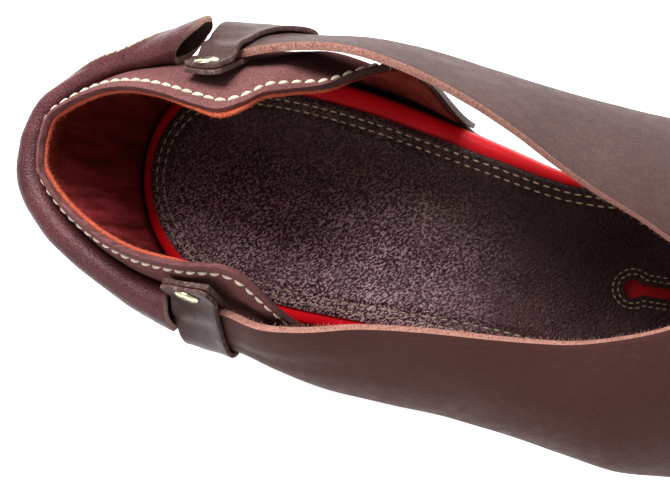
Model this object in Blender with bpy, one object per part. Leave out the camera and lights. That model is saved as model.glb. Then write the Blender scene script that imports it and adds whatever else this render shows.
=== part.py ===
"""Open-toe sandal for the right foot, standing on its sole.

The red footbed lies on a low-heeled outsole and carries a dark sock. A stiff counter rises round
the heel, with a rolled leather tube along the outside of its collar. The upper is one thick
leather vamp: it leaves the toes open, and its two wings run back, free of the sole, to a riveted
keeper on each side of the heel.

Design frame, in millimetres: X from the back of the footbed to the toe, Y to the inner side of
the foot, Z up from the floor. The parent empty moves the origin to the heel's resting spot.
"""

import math

import bmesh
import bpy
import numpy as np
from mathutils import Vector

MM = 0.001
INNER = 1
OUTER = -1
SIDE_NAMES = {INNER: "inner", OUTER: "outer"}

# Driving dimensions, in millimetres and degrees
LENGTH = 252.0          # footbed, back of the heel to the tip of the toe
HEEL_REST = 33.0        # centre of the heel's resting spot
GAP = 0.3               # between pieces that touch
FOOTBED_THICK = 8.0
RIM_ROUND = 3.2         # rounding of the footbed's upper edge
SOCK_THICK = 1.2
SHELF = 3.1             # how far the outsole stands out under counter and vamp
COUNTER_WALL = 2.2
VAMP_WALL = 2.2
ROLL_WALL = 1.6
KEEPER_WALL = 1.3
TAB_HEIGHT = 8.8        # doubled end of a keeper, above the wing
TAB_INSET = 2.6         # how far the tab's foot stands in from the wing's upper edge
TAB_LEAN = 18.0         # how far the tab leans in over the foot
STUD_RADIUS = 3.3
STUD_HEIGHT = 0.9

HEEL_ROUND = 30.0       # length over which the footbed's heel end rounds off
TOE_ROUND = 55.0
MEAN_HALF = 32.0        # half width by which an inset narrows the footbed's outline

# The vamp along the foot
THROAT_TAPER = 140.0    # from here the throat's edges close in on its round end
THROAT_APEX = 168.0
VAMP_FRONT = 206.0      # front edge on the ridge
FRONT_SWEEP = {INNER: 7.0, OUTER: -8.0}    # how far that edge leads or trails at the sole
WING_START = {INNER: 38.2, OUTER: 40.8}    # rear ends of the wings
WING_LIFT = (146.0, 190.0)          # where a wing's lower edge leaves the sole
WING_JOIN = (118.0, 150.0)          # over which the wings run into one arch across the foot
RIDGE_LEAN = 86.0                   # lean of that arch at its ridge
FULLNESS = 0.36                     # pull of an arch's ends, as a share of its chord


class Table:
    """Rows of named columns, read on a smooth curve between the stations of the first column."""

    def __init__(self, columns, *rows):
        values = np.array(rows, float).T
        self.stations = values[0]
        self.columns = dict(zip(columns, values))

    def read(self, name, at):
        xs, ys = self.stations, self.columns[name]
        slopes = np.gradient(ys, xs)
        left = int(np.clip(np.searchsorted(xs, at) - 1, 0, len(xs) - 2))
        step = xs[left + 1] - xs[left]
        t = float(np.clip((at - xs[left]) / step, 0.0, 1.0))
        start = (2 * t**3 - 3 * t**2 + 1) * ys[left] + (t**3 - 2 * t**2 + t) * step * slopes[left]
        end = (3 * t**2 - 2 * t**3) * ys[left + 1] + (t**3 - t**2) * step * slopes[left + 1]
        return float(start + end)

    def read_straight(self, name, at):
        return float(np.interp(at, self.stations, self.columns[name]))


FOOTBED = Table(
    ("station", "centre", "half", "top"),
    (0, 4.6, 31.0, 34.0),
    (25, 2.6, 31.8, 34.0),
    (48, 0.9, 33.6, 34.0),
    (65, -0.4, 33.0, 33.5),
    (84, -2.5, 30.9, 32.0),
    (100, -4.6, 28.6, 29.3),
    (125, -8.8, 27.0, 23.5),
    (140, -11.2, 30.2, 19.5),
    (160, -11.0, 39.5, 15.0),
    (180, -8.4, 43.6, 13.0),
    (200, -4.6, 44.0, 13.2),
    (220, -0.6, 43.0, 14.6),
    (252, 4.0, 40.0, 19.0),
)

OUTSOLE = Table(
    ("station", "bottom", "taper", "shelf"),
    (0, 0.0, 3.5, 1.0),
    (62, 0.0, 3.5, 1.0),
    (66, 17.0, 1.0, 1.0),
    (84, 15.8, 1.0, 1.0),
    (94, 14.2, 1.5, 0.0),
    (125, 7.0, 2.0, 0.0),
    (145, 1.2, 2.0, 0.0),
    (152, 0.0, 2.0, 0.0),
    (172, 0.0, 2.0, 1.0),
    (205, 0.0, 2.0, 1.0),
    (225, 2.2, 2.0, 0.5),
    (252, 8.0, 2.0, 0.5),
)

# Width of red rim left round the sock, on each side of the foot
SOCK_RIM = Table(
    ("station", "inner", "outer"),
    (0, 3.8, 3.6),
    (25, 4.6, 3.6),
    (65, 5.8, 4.0),
    (84, 5.6, 4.2),
    (100, 4.8, 4.2),
    (118, 3.6, 4.2),
    (252, 3.6, 4.2),
)

# Collar of the counter, from the middle of the back (turn 0) to the front corner (turn 1)
COUNTER = Table(
    (
        "turn", "base", "top", "inner_x", "inner_half", "inner_lean", "inner_reach",
        "outer_x", "outer_half", "outer_lean", "outer_reach",
    ),
    (0.00, 0.0, 87.0, -2.6, 0.0, 50, 8, -2.6, 0.0, 50, 8),
    (0.07, 0.8, 87.0, -1.6, 6.0, 50, 8, -1.8, 5.8, 49, 8),
    (0.14, 2.8, 87.2, 1.2, 9.0, 48, 8, 0.8, 9.4, 46, 8),
    (0.22, 7.2, 88.0, 7.0, 13.0, 45, 8, 6.6, 13.6, 42, 8),
    (0.30, 14.0, 89.5, 14.2, 16.4, 43, 9, 14.2, 17.2, 37, 8),
    (0.38, 22.0, 91.6, 22.4, 18.2, 40, 11, 22.8, 19.8, 31, 9),
    (0.46, 32.0, 93.8, 32.0, 18.4, 45, 14, 33.0, 21.1, 31, 9),
    (0.53, 42.0, 95.6, 42.0, 17.6, 49, 16, 45.0, 20.6, 31, 9),
    (0.59, 51.0, 96.4, 49.5, 17.6, 51, 17, 55.5, 18.7, 36, 12),
    (0.64, 57.0, 95.0, 54.5, 20.4, 50, 17, 60.5, 19.4, 41, 14),
    (0.69, 61.0, 91.6, 58.0, 24.0, 47, 16, 64.0, 21.9, 44, 16),
    (0.75, 66.0, 87.0, 63.0, 26.4, 42, 15, 67.5, 25.2, 38, 15),
    (0.82, 74.0, 81.0, 70.5, 29.8, 34, 14, 71.5, 28.6, 30, 14),
    (0.89, 83.0, 76.5, 78.5, 35.8, 20, 14, 78.0, 31.6, 18, 14),
    (0.95, 88.5, 71.0, 85.0, 39.4, 8, 14, 85.0, 33.4, 8, 14),
    (1.00, 92.0, 62.0, 89.0, 38.8, 0, 12, 89.5, 34.0, 0, 12),
)

# How far the counter's wall bulges out below the collar, on each side of the foot
COUNTER_BULGE = Table(
    ("turn", "inner", "outer"),
    (0.00, 0.6, 0.6),
    (0.38, 0.6, 0.6),
    (0.53, 6.0, 1.0),
    (0.64, 9.5, 1.6),
    (0.75, 10.0, 1.6),
    (0.84, 7.0, 1.2),
    (0.93, 2.0, 0.8),
    (1.00, 0.6, 0.6),
)

# Lower edge of each wing, and how far the leather leans at that edge and at the throat
WING_COLUMNS = ("station", "low_y", "low_z", "low_lean", "high_lean")
WINGS = {
    INNER: Table(
        WING_COLUMNS,
        (35, 39.8, 74.5, 0, 20),
        (45, 40.6, 72.6, 0, 22),
        (55, 41.0, 70.2, 0, 22),
        (65, 41.6, 67.0, 2, 18),
        (75, 42.6, 63.0, 3, 18),
        (90, 41.8, 56.0, 5, 24),
        (105, 39.0, 48.5, 8, 34),
        (120, 36.8, 41.0, 10, 46),
        (135, 35.3, 34.0, 12, 58),
        (150, 34.4, 27.0, 12, 69),
        (168, 35.6, 19.0, 12, 78),
        (206, 38.0, 12.0, 10, 82),
        (222, 38.0, 12.0, 10, 82),
    ),
    OUTER: Table(
        WING_COLUMNS,
        (35, 37.1, 74.0, 0, 36),
        (45, 38.6, 72.0, 0, 40),
        (55, 39.9, 69.6, 0, 46),
        (65, 42.6, 66.5, 2, 46),
        (75, 45.0, 62.5, 4, 48),
        (90, 46.5, 55.5, 6, 52),
        (105, 47.6, 48.5, 8, 54),
        (120, 49.3, 42.0, 10, 56),
        (135, 52.0, 36.0, 12, 61),
        (150, 54.6, 30.0, 12, 68),
        (168, 54.4, 22.0, 12, 78),
        (206, 52.0, 12.0, 10, 82),
        (222, 50.0, 12.0, 10, 82),
    ),
}

# The throat between the wings' upper edges
THROAT = Table(
    ("station", "centre", "half", "inner_z", "outer_z"),
    (35, 1.6, 32.2, 81.0, 79.5),
    (45, 1.5, 32.2, 84.0, 82.0),
    (55, 2.8, 33.2, 86.3, 86.0),
    (65, 2.8, 34.9, 87.6, 87.6),
    (75, 3.5, 34.7, 88.0, 88.0),
    (90, 4.0, 31.9, 86.0, 86.0),
    (105, 2.4, 28.6, 83.0, 83.0),
    (120, -0.7, 24.6, 79.0, 79.0),
    (130, -3.3, 21.3, 75.8, 75.8),
    (140, -5.3, 18.1, 72.4, 72.4),
    (150, -6.1, 14.5, 68.8, 68.8),
    (168, -7.2, 0.0, 61.0, 61.0),
    (206, -4.0, 0.0, 47.0, 47.0),
    (222, -3.0, 0.0, 42.0, 42.0),
)

# Ridge of the arch over the foot: behind the throat's end the leather stops short of it
RIDGE = Table(
    ("station", "height"),
    (118, 86.0),
    (140, 76.8),
    (150, 72.0),
    (168, 62.0),
    (186, 53.6),
    (206, 47.0),
    (222, 43.0),
)

# Rear and front edge of each keeper at its riveted tab, and at the fold under the wing
KEEPERS = {
    INNER: {"tab": (36.5, 48.0), "fold": (38.0, 60.5), "fold_width": 0.15},
    OUTER: {"tab": (39.0, 54.0), "fold": (40.5, 53.0), "fold_width": 0.17},
}

# The heel roll, from its mouth on the outer side (share -1) to the one on the inner side (share 1)
ROLL = Table(
    ("share", "radius", "height"),
    (-1.0, 5.4, 79.5),
    (-0.8, 4.2, 80.0),
    (-0.4, 4.0, 80.5),
    (0.0, 3.5, 79.5),
    (0.2, 2.8, 79.0),
    (0.5, 2.6, 79.0),
    (0.7, 3.0, 79.5),
    (0.85, 4.2, 80.5),
    (1.0, 6.2, 81.0),
)
ROLL_END = {INNER: 37.4, OUTER: 40.0}
MOUTH_SLANT = {INNER: 8.5, OUTER: 3.0}     # how far a mouth's inner lip lies behind its outer lip

COLOURS = {
    "outsole": ((0.035, 0.016, 0.014), 0.55, 0.0),
    "footbed": ((0.42, 0.012, 0.02), 0.25, 0.0),
    "insole": ((0.028, 0.012, 0.014), 0.35, 0.0),
    "counter": ((0.12, 0.035, 0.035), 0.45, 0.0),
    "heel_roll": ((0.07, 0.012, 0.014), 0.3, 0.0),
    "vamp": ((0.085, 0.04, 0.036), 0.55, 0.0),
    "keeper": ((0.09, 0.045, 0.042), 0.45, 0.0),
    "stud": ((0.75, 0.68, 0.45), 0.25, 1.0),
}


def smooth_step(start, end, at):
    t = min(max((at - start) / (end - start), 0.0), 1.0)
    return t * t * (3 - 2 * t)


def bezier(points, t):
    a, b, c, d = (np.array(p, float) for p in points)
    return (1 - t) ** 3 * a + 3 * (1 - t) ** 2 * t * b + 3 * (1 - t) * t**2 * c + t**3 * d


def half_width(x):
    """Half the footbed's width at station x, rounded off at heel and toe."""
    half = FOOTBED.read("half", x)
    heel = max(HEEL_ROUND - x, 0.0) / HEEL_ROUND
    toe = max(x - LENGTH + TOE_ROUND, 0.0) / TOE_ROUND
    return half * math.sqrt(max(1 - heel**2, 0.0)) * math.sqrt(max(1 - toe**2, 0.0))


def side_edge(x, side):
    return FOOTBED.read("centre", x) + side * half_width(x)


def outline_normal(x, side):
    """Outward unit normal, in plan, of the footbed's outline at station x."""
    step = 0.01
    if x < step:
        return np.array((-1.0, 0.0))
    if x > LENGTH - step:
        return np.array((1.0, 0.0))
    rise = (side_edge(x + step / 2, side) - side_edge(x - step / 2, side)) / step
    return np.array((-rise, 1.0)) * side / math.hypot(rise, 1.0)


def sole_edge(x, side, grow):
    """Point of the footbed's outline at station x, moved outwards by grow in the plane."""
    return np.array((x, side_edge(x, side))) + outline_normal(x, side) * grow


def stations_along(start, end, middle):
    """Stations from end to end of the sole: close together in the two rounded ends."""
    heel = start + HEEL_ROUND * (1 - np.cos(np.linspace(0, math.pi / 2, 8)))
    toe = end - TOE_ROUND * (1 - np.sin(np.linspace(0, math.pi / 2, 9)))
    return np.concatenate([heel, middle, toe])


def material(name):
    colour, roughness, metallic = COLOURS[name]
    made = bpy.data.materials.get(name) or bpy.data.materials.new(name)
    made.use_nodes = True
    shader = made.node_tree.nodes["Principled BSDF"]
    shader.inputs["Base Color"].default_value = (*colour, 1.0)
    shader.inputs["Roughness"].default_value = roughness
    shader.inputs["Metallic"].default_value = metallic
    return made


def grid(columns, rows, place):
    """A grid of columns by rows faces, each corner put where place(column, row) says."""
    made = bmesh.new()
    bmesh.ops.create_grid(made, x_segments=columns, y_segments=rows, size=0.5)
    for corner in made.verts:
        column = round((corner.co.x + 0.5) * columns)
        row = round((corner.co.y + 0.5) * rows)
        corner.co = Vector(place(column, row)) * MM
    return made


def add_object(name, made, parent, finish):
    bmesh.ops.remove_doubles(made, verts=made.verts, dist=0.02 * MM)
    bmesh.ops.dissolve_degenerate(made, edges=made.edges, dist=0.01 * MM)
    bmesh.ops.recalc_face_normals(made, faces=made.faces)
    closed = all(edge.is_manifold for edge in made.edges)
    if closed and made.calc_volume(signed=True) < 0:
        bmesh.ops.reverse_faces(made, faces=made.faces)
    mesh = bpy.data.meshes.new(name)
    made.to_mesh(mesh)
    made.free()
    mesh.shade_smooth()
    mesh.set_sharp_from_angle(angle=math.radians(40))
    mesh.materials.append(material(finish))
    piece = bpy.data.objects.new(name, mesh)
    bpy.context.collection.objects.link(piece)
    piece.parent = parent
    return piece


def thicken(piece, wall):
    """Gives a sheet its wall, half to each side."""
    wall_maker = piece.modifiers.new("wall", "SOLIDIFY")
    wall_maker.thickness = wall * MM
    wall_maker.offset = 0.0
    wall_maker.use_even_offset = True


def lofted(stations, profile):
    """A closed bmesh through the stations. profile(x) is half a section, from the middle of the
    bottom to the middle of the top, as (inner side point, outer side point) pairs."""
    sections = []
    for x in stations:
        half = profile(x)
        sections.append([pair[0] for pair in half] + [pair[1] for pair in reversed(half)])
    around = len(sections[0])
    return grid(len(stations) - 1, around, lambda i, j: sections[i][j % around])


def inset_edge(x, side, inset, end_inset):
    """Outline point at station x drawn in by inset, and by end_inset along the foot."""
    inside = end_inset + x * (1 - 2 * end_inset / LENGTH)
    width = half_width(x) * (1 - inset / MEAN_HALF)
    return np.array((inside, FOOTBED.read("centre", inside) + side * width))


def pair_at(x, grow, height, spread=1.0):
    """The two outline points at station x, moved out by grow and drawn towards the middle."""
    centre = FOOTBED.read("centre", x)
    points = []
    for side in (INNER, OUTER):
        edge = sole_edge(x, side, grow) if grow >= 0 else inset_edge(x, side, -grow, -grow)
        points.append((edge[0], centre + (edge[1] - centre) * spread, height))
    return points


def sock_pair(x, height, spread=1.0):
    """The two points of the sock's outline at station x, drawn towards the middle."""
    centre = FOOTBED.read("centre", x)
    end_inset = (SOCK_RIM.read("inner", 0.0) + SOCK_RIM.read("outer", 0.0)) / 2
    points = []
    for side in (INNER, OUTER):
        edge = inset_edge(x, side, SOCK_RIM.read(SIDE_NAMES[side], x), end_inset)
        points.append((edge[0], centre + (edge[1] - centre) * spread, height))
    return points


def make_footbed(parent):
    def profile(x):
        top = FOOTBED.read("top", x)
        bottom = top - FOOTBED_THICK
        rows = [pair_at(x, 0.0, bottom, 0.0), pair_at(x, 0.0, bottom), pair_at(x, 0.0, top - RIM_ROUND)]
        for turn in (30, 60, 90):
            inset = RIM_ROUND * (1 - math.cos(math.radians(turn)))
            height = top - RIM_ROUND * (1 - math.sin(math.radians(turn)))
            rows.append(pair_at(x, -inset, height))
        rows.append(pair_at(x, -RIM_ROUND, top, 0.0))
        return rows

    stations = stations_along(0.0, LENGTH, np.linspace(42, 188, 15))
    add_object("footbed", lofted(stations, profile), parent, "footbed")


def make_insole(parent):
    def profile(x):
        bottom = FOOTBED.read("top", x) + GAP
        return [
            sock_pair(x, bottom, 0.0),
            sock_pair(x, bottom),
            sock_pair(x, bottom + SOCK_THICK),
            sock_pair(x, bottom + SOCK_THICK, 0.0),
        ]

    stations = stations_along(0.0, LENGTH, np.linspace(42, 188, 15))
    sock = add_object("insole", lofted(stations, profile), parent, "insole")
    slot = make_slot_cutter(parent)
    cut = sock.modifiers.new("slot", "BOOLEAN")
    cut.operation = "DIFFERENCE"
    cut.solver = "MANIFOLD"
    cut.object = slot


def make_slot_cutter(parent):
    """An upright bar with a round bulb at its rear end, which cuts the long keyhole slot under the
    ball of the foot."""
    back, front, middle = 139.5, 174.0, -9.0
    bulb, neck, steps = 2.5, 1.4, 10
    low, high = 0.0, 40.0
    opening = math.asin(neck / bulb)
    arcs = (
        (front - neck, neck, -math.pi / 2, math.pi / 2),
        (back + bulb, bulb, opening, 2 * math.pi - opening),
    )
    outline = []
    for centre, radius, start, end in arcs:
        for turn in np.linspace(start, end, steps):
            outline.append((centre + radius * math.cos(turn), middle + radius * math.sin(turn)))
    made = bmesh.new()
    floor = [made.verts.new(Vector((x, y, low)) * MM) for x, y in outline]
    face = made.faces.new(floor)
    pulled = bmesh.ops.extrude_face_region(made, geom=[face])
    raised = [item for item in pulled["geom"] if isinstance(item, bmesh.types.BMVert)]
    bmesh.ops.translate(made, verts=raised, vec=Vector((0, 0, high - low)) * MM)
    cutter = add_object("slot_cutter", made, parent, "footbed")
    cutter.hide_render = True
    cutter.display_type = "WIRE"
    return cutter


def make_outsole(parent):
    def profile(x):
        top = FOOTBED.read("top", x) - FOOTBED_THICK - GAP
        bottom = OUTSOLE.read_straight("bottom", x)
        shelf = SHELF * smooth_step(0.0, 1.0, OUTSOLE.read_straight("shelf", x))
        taper = OUTSOLE.read_straight("taper", x)
        return [
            pair_at(x, max(shelf - taper, 0.0), bottom, 0.0),
            pair_at(x, max(shelf - taper, 0.0), bottom),
            pair_at(x, shelf, bottom + (top - bottom) * 0.8),
            pair_at(x, shelf, top),
            pair_at(x, shelf, top, 0.0),
        ]

    middle = (42, 54, 61.5, 62.5, 66, 74, 84, 89, 94, 104, 115, 125, 135, 145, 152, 162, 167, 172, 184)
    stations = stations_along(0.0, LENGTH, np.array(middle))
    add_object("outsole", lofted(stations, profile), parent, "outsole")


def counter_point(turn, side, t):
    """Point in the middle of the counter's wall: t runs from its lower edge to the collar."""
    base_x = COUNTER.read("base", turn)
    out = outline_normal(base_x, side)
    foot = sole_edge(base_x, side, GAP + COUNTER_WALL / 2)
    bottom = FOOTBED.read("top", base_x) - FOOTBED_THICK
    name = SIDE_NAMES[side]
    top_x = COUNTER.read(f"{name}_x", turn)
    top_y = FOOTBED.read("centre", max(top_x, 0.0)) + side * COUNTER.read(f"{name}_half", turn)
    top_z = COUNTER.read("top", turn)
    lean = math.radians(COUNTER.read(f"{name}_lean", turn))
    reach = COUNTER.read(f"{name}_reach", turn)
    rise = (top_z - bottom) * 0.5
    low = (*foot, bottom)
    low_pull = (*(foot + out * COUNTER_BULGE.read(name, turn)), bottom + rise)
    high = (top_x, top_y, top_z)
    slope = out * math.sin(lean) * reach
    high_pull = (top_x + slope[0], top_y + slope[1], top_z - math.cos(lean) * reach)
    return bezier((low, low_pull, high_pull, high), t)


def counter_normal(turn, side, t):
    """Outward unit normal of the counter's wall."""
    step = 0.004
    low, high = max(turn - step, 0.0), min(turn + step, 1.0)
    along = counter_point(high, side, t) - counter_point(low, side, t)
    up = counter_point(turn, side, min(t + step, 1.0)) - counter_point(turn, side, max(t - step, 0.0))
    normal = np.cross(up, along) * side
    if turn < step:
        normal = np.cross(up, (0.0, float(side), 0.0)) * side
    return normal / np.linalg.norm(normal)


def make_counter(parent):
    turns, rows = 26, 9

    def place(column, row):
        turn = abs(column - turns) / turns
        side = INNER if column < turns else OUTER
        return counter_point(turn, side, row / rows)

    counter = add_object("counter", grid(2 * turns, rows, place), parent, "counter")
    thicken(counter, COUNTER_WALL)


def roll_centre(turn, side, height):
    """Where the heel roll touches the counter at that height, and the way out from there."""
    low, high = 0.3, 1.0
    for _ in range(24):
        middle = (low + high) / 2
        if counter_point(turn, side, middle)[2] < height:
            low = middle
        else:
            high = middle
    normal = counter_normal(turn, side, low)
    out = np.array((normal[0], normal[1], 0.0))
    out /= np.linalg.norm(out)
    room = COUNTER_WALL / 2 + 1.5 * GAP
    return counter_point(turn, side, low) + normal * room, out


def turn_at(side, x):
    """Turn of the counter where the heel roll's mouth has come forward to station x."""
    height = ROLL.read("height", side)
    low, high = 0.1, 0.9
    for _ in range(24):
        middle = (low + high) / 2
        if roll_centre(middle, side, height)[0][0] < x:
            low = middle
        else:
            high = middle
    return low


def make_heel_roll(parent):
    half_steps, around = 15, 14
    last = {side: turn_at(side, ROLL_END[side]) for side in (INNER, OUTER)}
    up = np.array((0.0, 0.0, 1.0))

    def place(column, row):
        share = column / half_steps - 1
        side = INNER if share > 0 else OUTER
        touch, out = roll_centre(last[side] * abs(share), side, ROLL.read("height", share))
        radius = ROLL.read("radius", share)
        angle = 2 * math.pi * (row % around) / around
        middle = radius - ROLL_WALL / 2
        ring = touch + out * radius + middle * (math.cos(angle) * out + math.sin(angle) * up)
        back = np.cross(out, up) * -side
        slant = MOUTH_SLANT[side] * smooth_step(0.6, 1.0, abs(share))
        return ring + back * slant * (1 - math.cos(angle)) / 2

    roll = add_object("heel_roll", grid(2 * half_steps, around, place), parent, "heel_roll")
    thicken(roll, ROLL_WALL)


def arch(side, low, high, low_lean, high_lean):
    """Half a section across the foot, as the four (y, z) points of a curve."""
    pull = FULLNESS * math.dist(low, high)
    rise = (side * math.sin(low_lean) * pull, math.cos(low_lean) * pull)
    fall = (side * math.sin(high_lean) * pull, math.cos(high_lean) * pull)
    return low, (low[0] + rise[0], low[1] + rise[1]), (high[0] + fall[0], high[1] - fall[1]), high


def share_of_arch(curve, side, edge):
    """How much of an arch lies outside the throat's edge."""
    low, high = 0.0, 1.0
    for _ in range(24):
        middle = (low + high) / 2
        if bezier(curve, middle)[0] * side > edge * side:
            low = middle
        else:
            high = middle
    return high


def vamp_point(side, x, t):
    """Point in the middle of the vamp's wall at station x: t runs from its lower edge to the throat
    edge, or to the ridge ahead of the throat."""
    wing = WINGS[side]
    seated = smooth_step(*WING_LIFT, x)
    sole = np.array(sole_edge(x, side, GAP + VAMP_WALL / 2))
    sole_z = FOOTBED.read("top", x) - FOOTBED_THICK
    low_y = side * wing.read("low_y", x) * (1 - seated) + sole[1] * seated
    low_z = wing.read("low_z", x) * (1 - seated) + sole_z * seated
    low = (low_y, low_z)
    low_lean = math.radians(wing.read("low_lean", x))
    edge = throat_edge(side, x)
    high = (edge, THROAT.read(f"{SIDE_NAMES[side]}_z", x))
    point = bezier(arch(side, low, high, low_lean, math.radians(wing.read("high_lean", x))), t)
    joined = smooth_step(*WING_JOIN, x)
    if joined > 0:
        ridge = (THROAT.read("centre", x), RIDGE.read("height", x))
        over_foot = arch(side, low, ridge, low_lean, math.radians(RIDGE_LEAN))
        share = share_of_arch(over_foot, side, edge)
        point += (bezier(over_foot, t * share) - point) * joined
    return np.array((x, *point))


def throat_edge(side, x):
    """Y of the throat's edge at station x, or of the ridge ahead of its round end."""
    half = THROAT.read("half", min(x, THROAT_TAPER))
    if x > THROAT_TAPER:
        half *= math.sqrt(max(THROAT_APEX - x, 0.0) / (THROAT_APEX - THROAT_TAPER))
    return THROAT.read("centre", x) + side * half


def vamp_stations(side):
    first = WING_START[side]
    wing = np.linspace(first, 130.0, 15)
    closing = THROAT_APEX - (THROAT_APEX - 136.0) * np.linspace(1, 0, 8) ** 2
    front = np.linspace(THROAT_APEX, VAMP_FRONT, 6)[1:]
    return np.concatenate([wing, closing, front])


def make_vamp(parent):
    rows = 9
    made = bmesh.new()
    for side in (INNER, OUTER):
        stations = vamp_stations(side)

        def place(column, row, side=side, stations=stations):
            x, t = stations[column], row / rows
            forward = max(x - THROAT_APEX, 0.0) / (VAMP_FRONT - THROAT_APEX)
            return vamp_point(side, x + FRONT_SWEEP[side] * forward**2 * (1 - t), t)

        half = grid(len(stations) - 1, rows, place)
        mesh = bpy.data.meshes.new("vamp_half")
        half.to_mesh(mesh)
        half.free()
        made.from_mesh(mesh)
        bpy.data.meshes.remove(mesh)
    vamp = add_object("vamp", made, parent, "vamp")
    thicken(vamp, VAMP_WALL)


def wing_frame(side, x, t):
    """A point of the wing and the outward normal of its section there."""
    step = 0.02
    point = vamp_point(side, x, t)
    along = vamp_point(side, x, min(t + step, 1.0)) - vamp_point(side, x, max(t - step, 0.0))
    normal = np.array((0.0, side * along[2], -side * along[1]))
    return point, normal / np.linalg.norm(normal)


def keeper_path(side, x):
    """Points of a keeper's middle line at station x: from the inner end of its tab, under the wing,
    to the outer end."""
    away = VAMP_WALL / 2 + GAP + KEEPER_WALL / 2
    out = np.array((0.0, side, 0.0))
    up = np.array((0.0, 0.0, 1.0))
    top, top_normal = wing_frame(side, x, 1.0)
    bottom, bottom_normal = wing_frame(side, x, 0.0)
    lean = math.radians(TAB_LEAN)
    rise = (up * math.cos(lean) - out * math.sin(lean)) * TAB_HEIGHT
    layer = (out * math.cos(lean) + up * math.sin(lean)) * (KEEPER_WALL + GAP) / 2
    tab = top - out * TAB_INSET + up * (away + 1.0)
    heights = (1.0, 0.6, 0.2)
    inside = [tab - layer + rise * share for share in heights]
    outside = [top + (up + out * 0.75) * away]
    outside += [tab + layer + rise * share for share in reversed(heights)]
    inside.append(top - top_normal * away)
    for t in (0.75, 0.5, 0.25):
        point, normal = wing_frame(side, x, t)
        inside.append(point - normal * away)
        outside.insert(0, point + normal * away)
    down = np.cross(bottom_normal, (side, 0.0, 0.0))
    turns = [math.pi * step / 4 for step in range(5)]
    fold = [bottom + (down * math.sin(a) - bottom_normal * math.cos(a)) * away for a in turns]
    return [*inside, *fold, *outside]


def keeper_point(side, along, across):
    """Point of a keeper: along runs from tab to tab, across from its rear edge to its front."""
    sizes = KEEPERS[side]
    fold = math.exp(-(((along - 0.5) / sizes["fold_width"]) ** 2))
    rear = sizes["tab"][0] + (sizes["fold"][0] - sizes["tab"][0]) * fold
    front = sizes["tab"][1] + (sizes["fold"][1] - sizes["tab"][1]) * fold
    x = rear + (front - rear) * across
    path = keeper_path(side, x)
    lengths = np.concatenate([[0.0], np.cumsum([np.linalg.norm(b - a) for a, b in zip(path, path[1:])])])
    rows = [(length, *point) for length, point in zip(lengths / lengths[-1], path)]
    curve = Table(("share", "x", "y", "z"), *rows)
    return np.array([curve.read(axis, along) for axis in "xyz"])


def make_keeper(name, side, parent):
    steps, across = 34, 4
    made = grid(steps, across, lambda i, j: keeper_point(side, i / steps, j / across))
    keeper = add_object(name, made, parent, "keeper")
    thicken(keeper, KEEPER_WALL)


def make_stud(name, side, parent):
    """A rivet head with a sloping edge, on the outer face of a keeper's tab."""
    segments, top_share = 20, 0.72
    along, step = 0.95, 0.01
    centre = keeper_point(side, along, 0.5)
    up = keeper_point(side, along + step, 0.5) - keeper_point(side, along - step, 0.5)
    forward = keeper_point(side, along, 0.6) - keeper_point(side, along, 0.4)
    normal = np.cross(up, forward) * side
    normal /= np.linalg.norm(normal)
    lift = KEEPER_WALL / 2 + GAP + STUD_HEIGHT / 2
    made = bmesh.new()
    bmesh.ops.create_cone(
        made,
        cap_ends=True,
        segments=segments,
        radius1=STUD_RADIUS * MM,
        radius2=STUD_RADIUS * top_share * MM,
        depth=STUD_HEIGHT * MM,
    )
    stud = add_object(name, made, parent, "stud")
    stud.location = Vector(centre + normal * lift) * MM
    stud.rotation_mode = "QUATERNION"
    stud.rotation_quaternion = Vector(normal).to_track_quat("Z", "Y")


def main():
    for old in list(bpy.data.objects):
        bpy.data.objects.remove(old, do_unlink=True)
    shoe = bpy.data.objects.new("sandal", None)
    shoe.location = (-HEEL_REST * MM, 0.0, 0.0)
    bpy.context.collection.objects.link(shoe)
    make_outsole(shoe)
    make_footbed(shoe)
    make_insole(shoe)
    make_counter(shoe)
    make_heel_roll(shoe)
    make_vamp(shoe)
    for side, name in SIDE_NAMES.items():
        make_keeper(f"keeper_{name}", side, shoe)
        make_stud(f"stud_{name}", side, shoe)


main()
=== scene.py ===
"""Open-toe sandal for the right foot: its leathers, lining, stitches, raw edges and studs.

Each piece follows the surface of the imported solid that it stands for, more finely, and takes that
solid's place. The tables are in millimetres, in the design frame: X from the back of the footbed to
the toe, Y to the inner side of the foot, Z up from the floor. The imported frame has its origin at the
heel's resting spot, HEEL_REST further along X.
"""

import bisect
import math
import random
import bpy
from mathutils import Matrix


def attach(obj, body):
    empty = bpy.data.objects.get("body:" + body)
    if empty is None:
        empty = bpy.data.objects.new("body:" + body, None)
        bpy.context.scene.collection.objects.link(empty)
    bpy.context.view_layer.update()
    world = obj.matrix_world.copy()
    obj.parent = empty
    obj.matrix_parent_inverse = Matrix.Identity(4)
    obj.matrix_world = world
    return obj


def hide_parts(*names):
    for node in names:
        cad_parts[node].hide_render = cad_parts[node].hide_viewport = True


bl_info = {
    "name": "Open-toe sandal",
    "version": (1, 0, 0),
    "blender": (4, 5, 0),
    "location": "View3D > Sidebar > Sandal",
    "description": "Dresses the packed solids of a leather open-toe sandal, piece by piece",
    "category": "Object",
}

import bmesh
import bpy
import numpy as np
from bpy.props import FloatProperty, FloatVectorProperty, IntProperty, PointerProperty
from mathutils import Matrix, Vector, noise

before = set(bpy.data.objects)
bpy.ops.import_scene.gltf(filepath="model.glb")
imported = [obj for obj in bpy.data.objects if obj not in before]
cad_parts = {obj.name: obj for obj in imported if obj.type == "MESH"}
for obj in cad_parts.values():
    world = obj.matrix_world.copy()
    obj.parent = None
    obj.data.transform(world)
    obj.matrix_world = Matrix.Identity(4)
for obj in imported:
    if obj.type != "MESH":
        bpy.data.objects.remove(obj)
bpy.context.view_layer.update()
BODY = "root"

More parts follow.
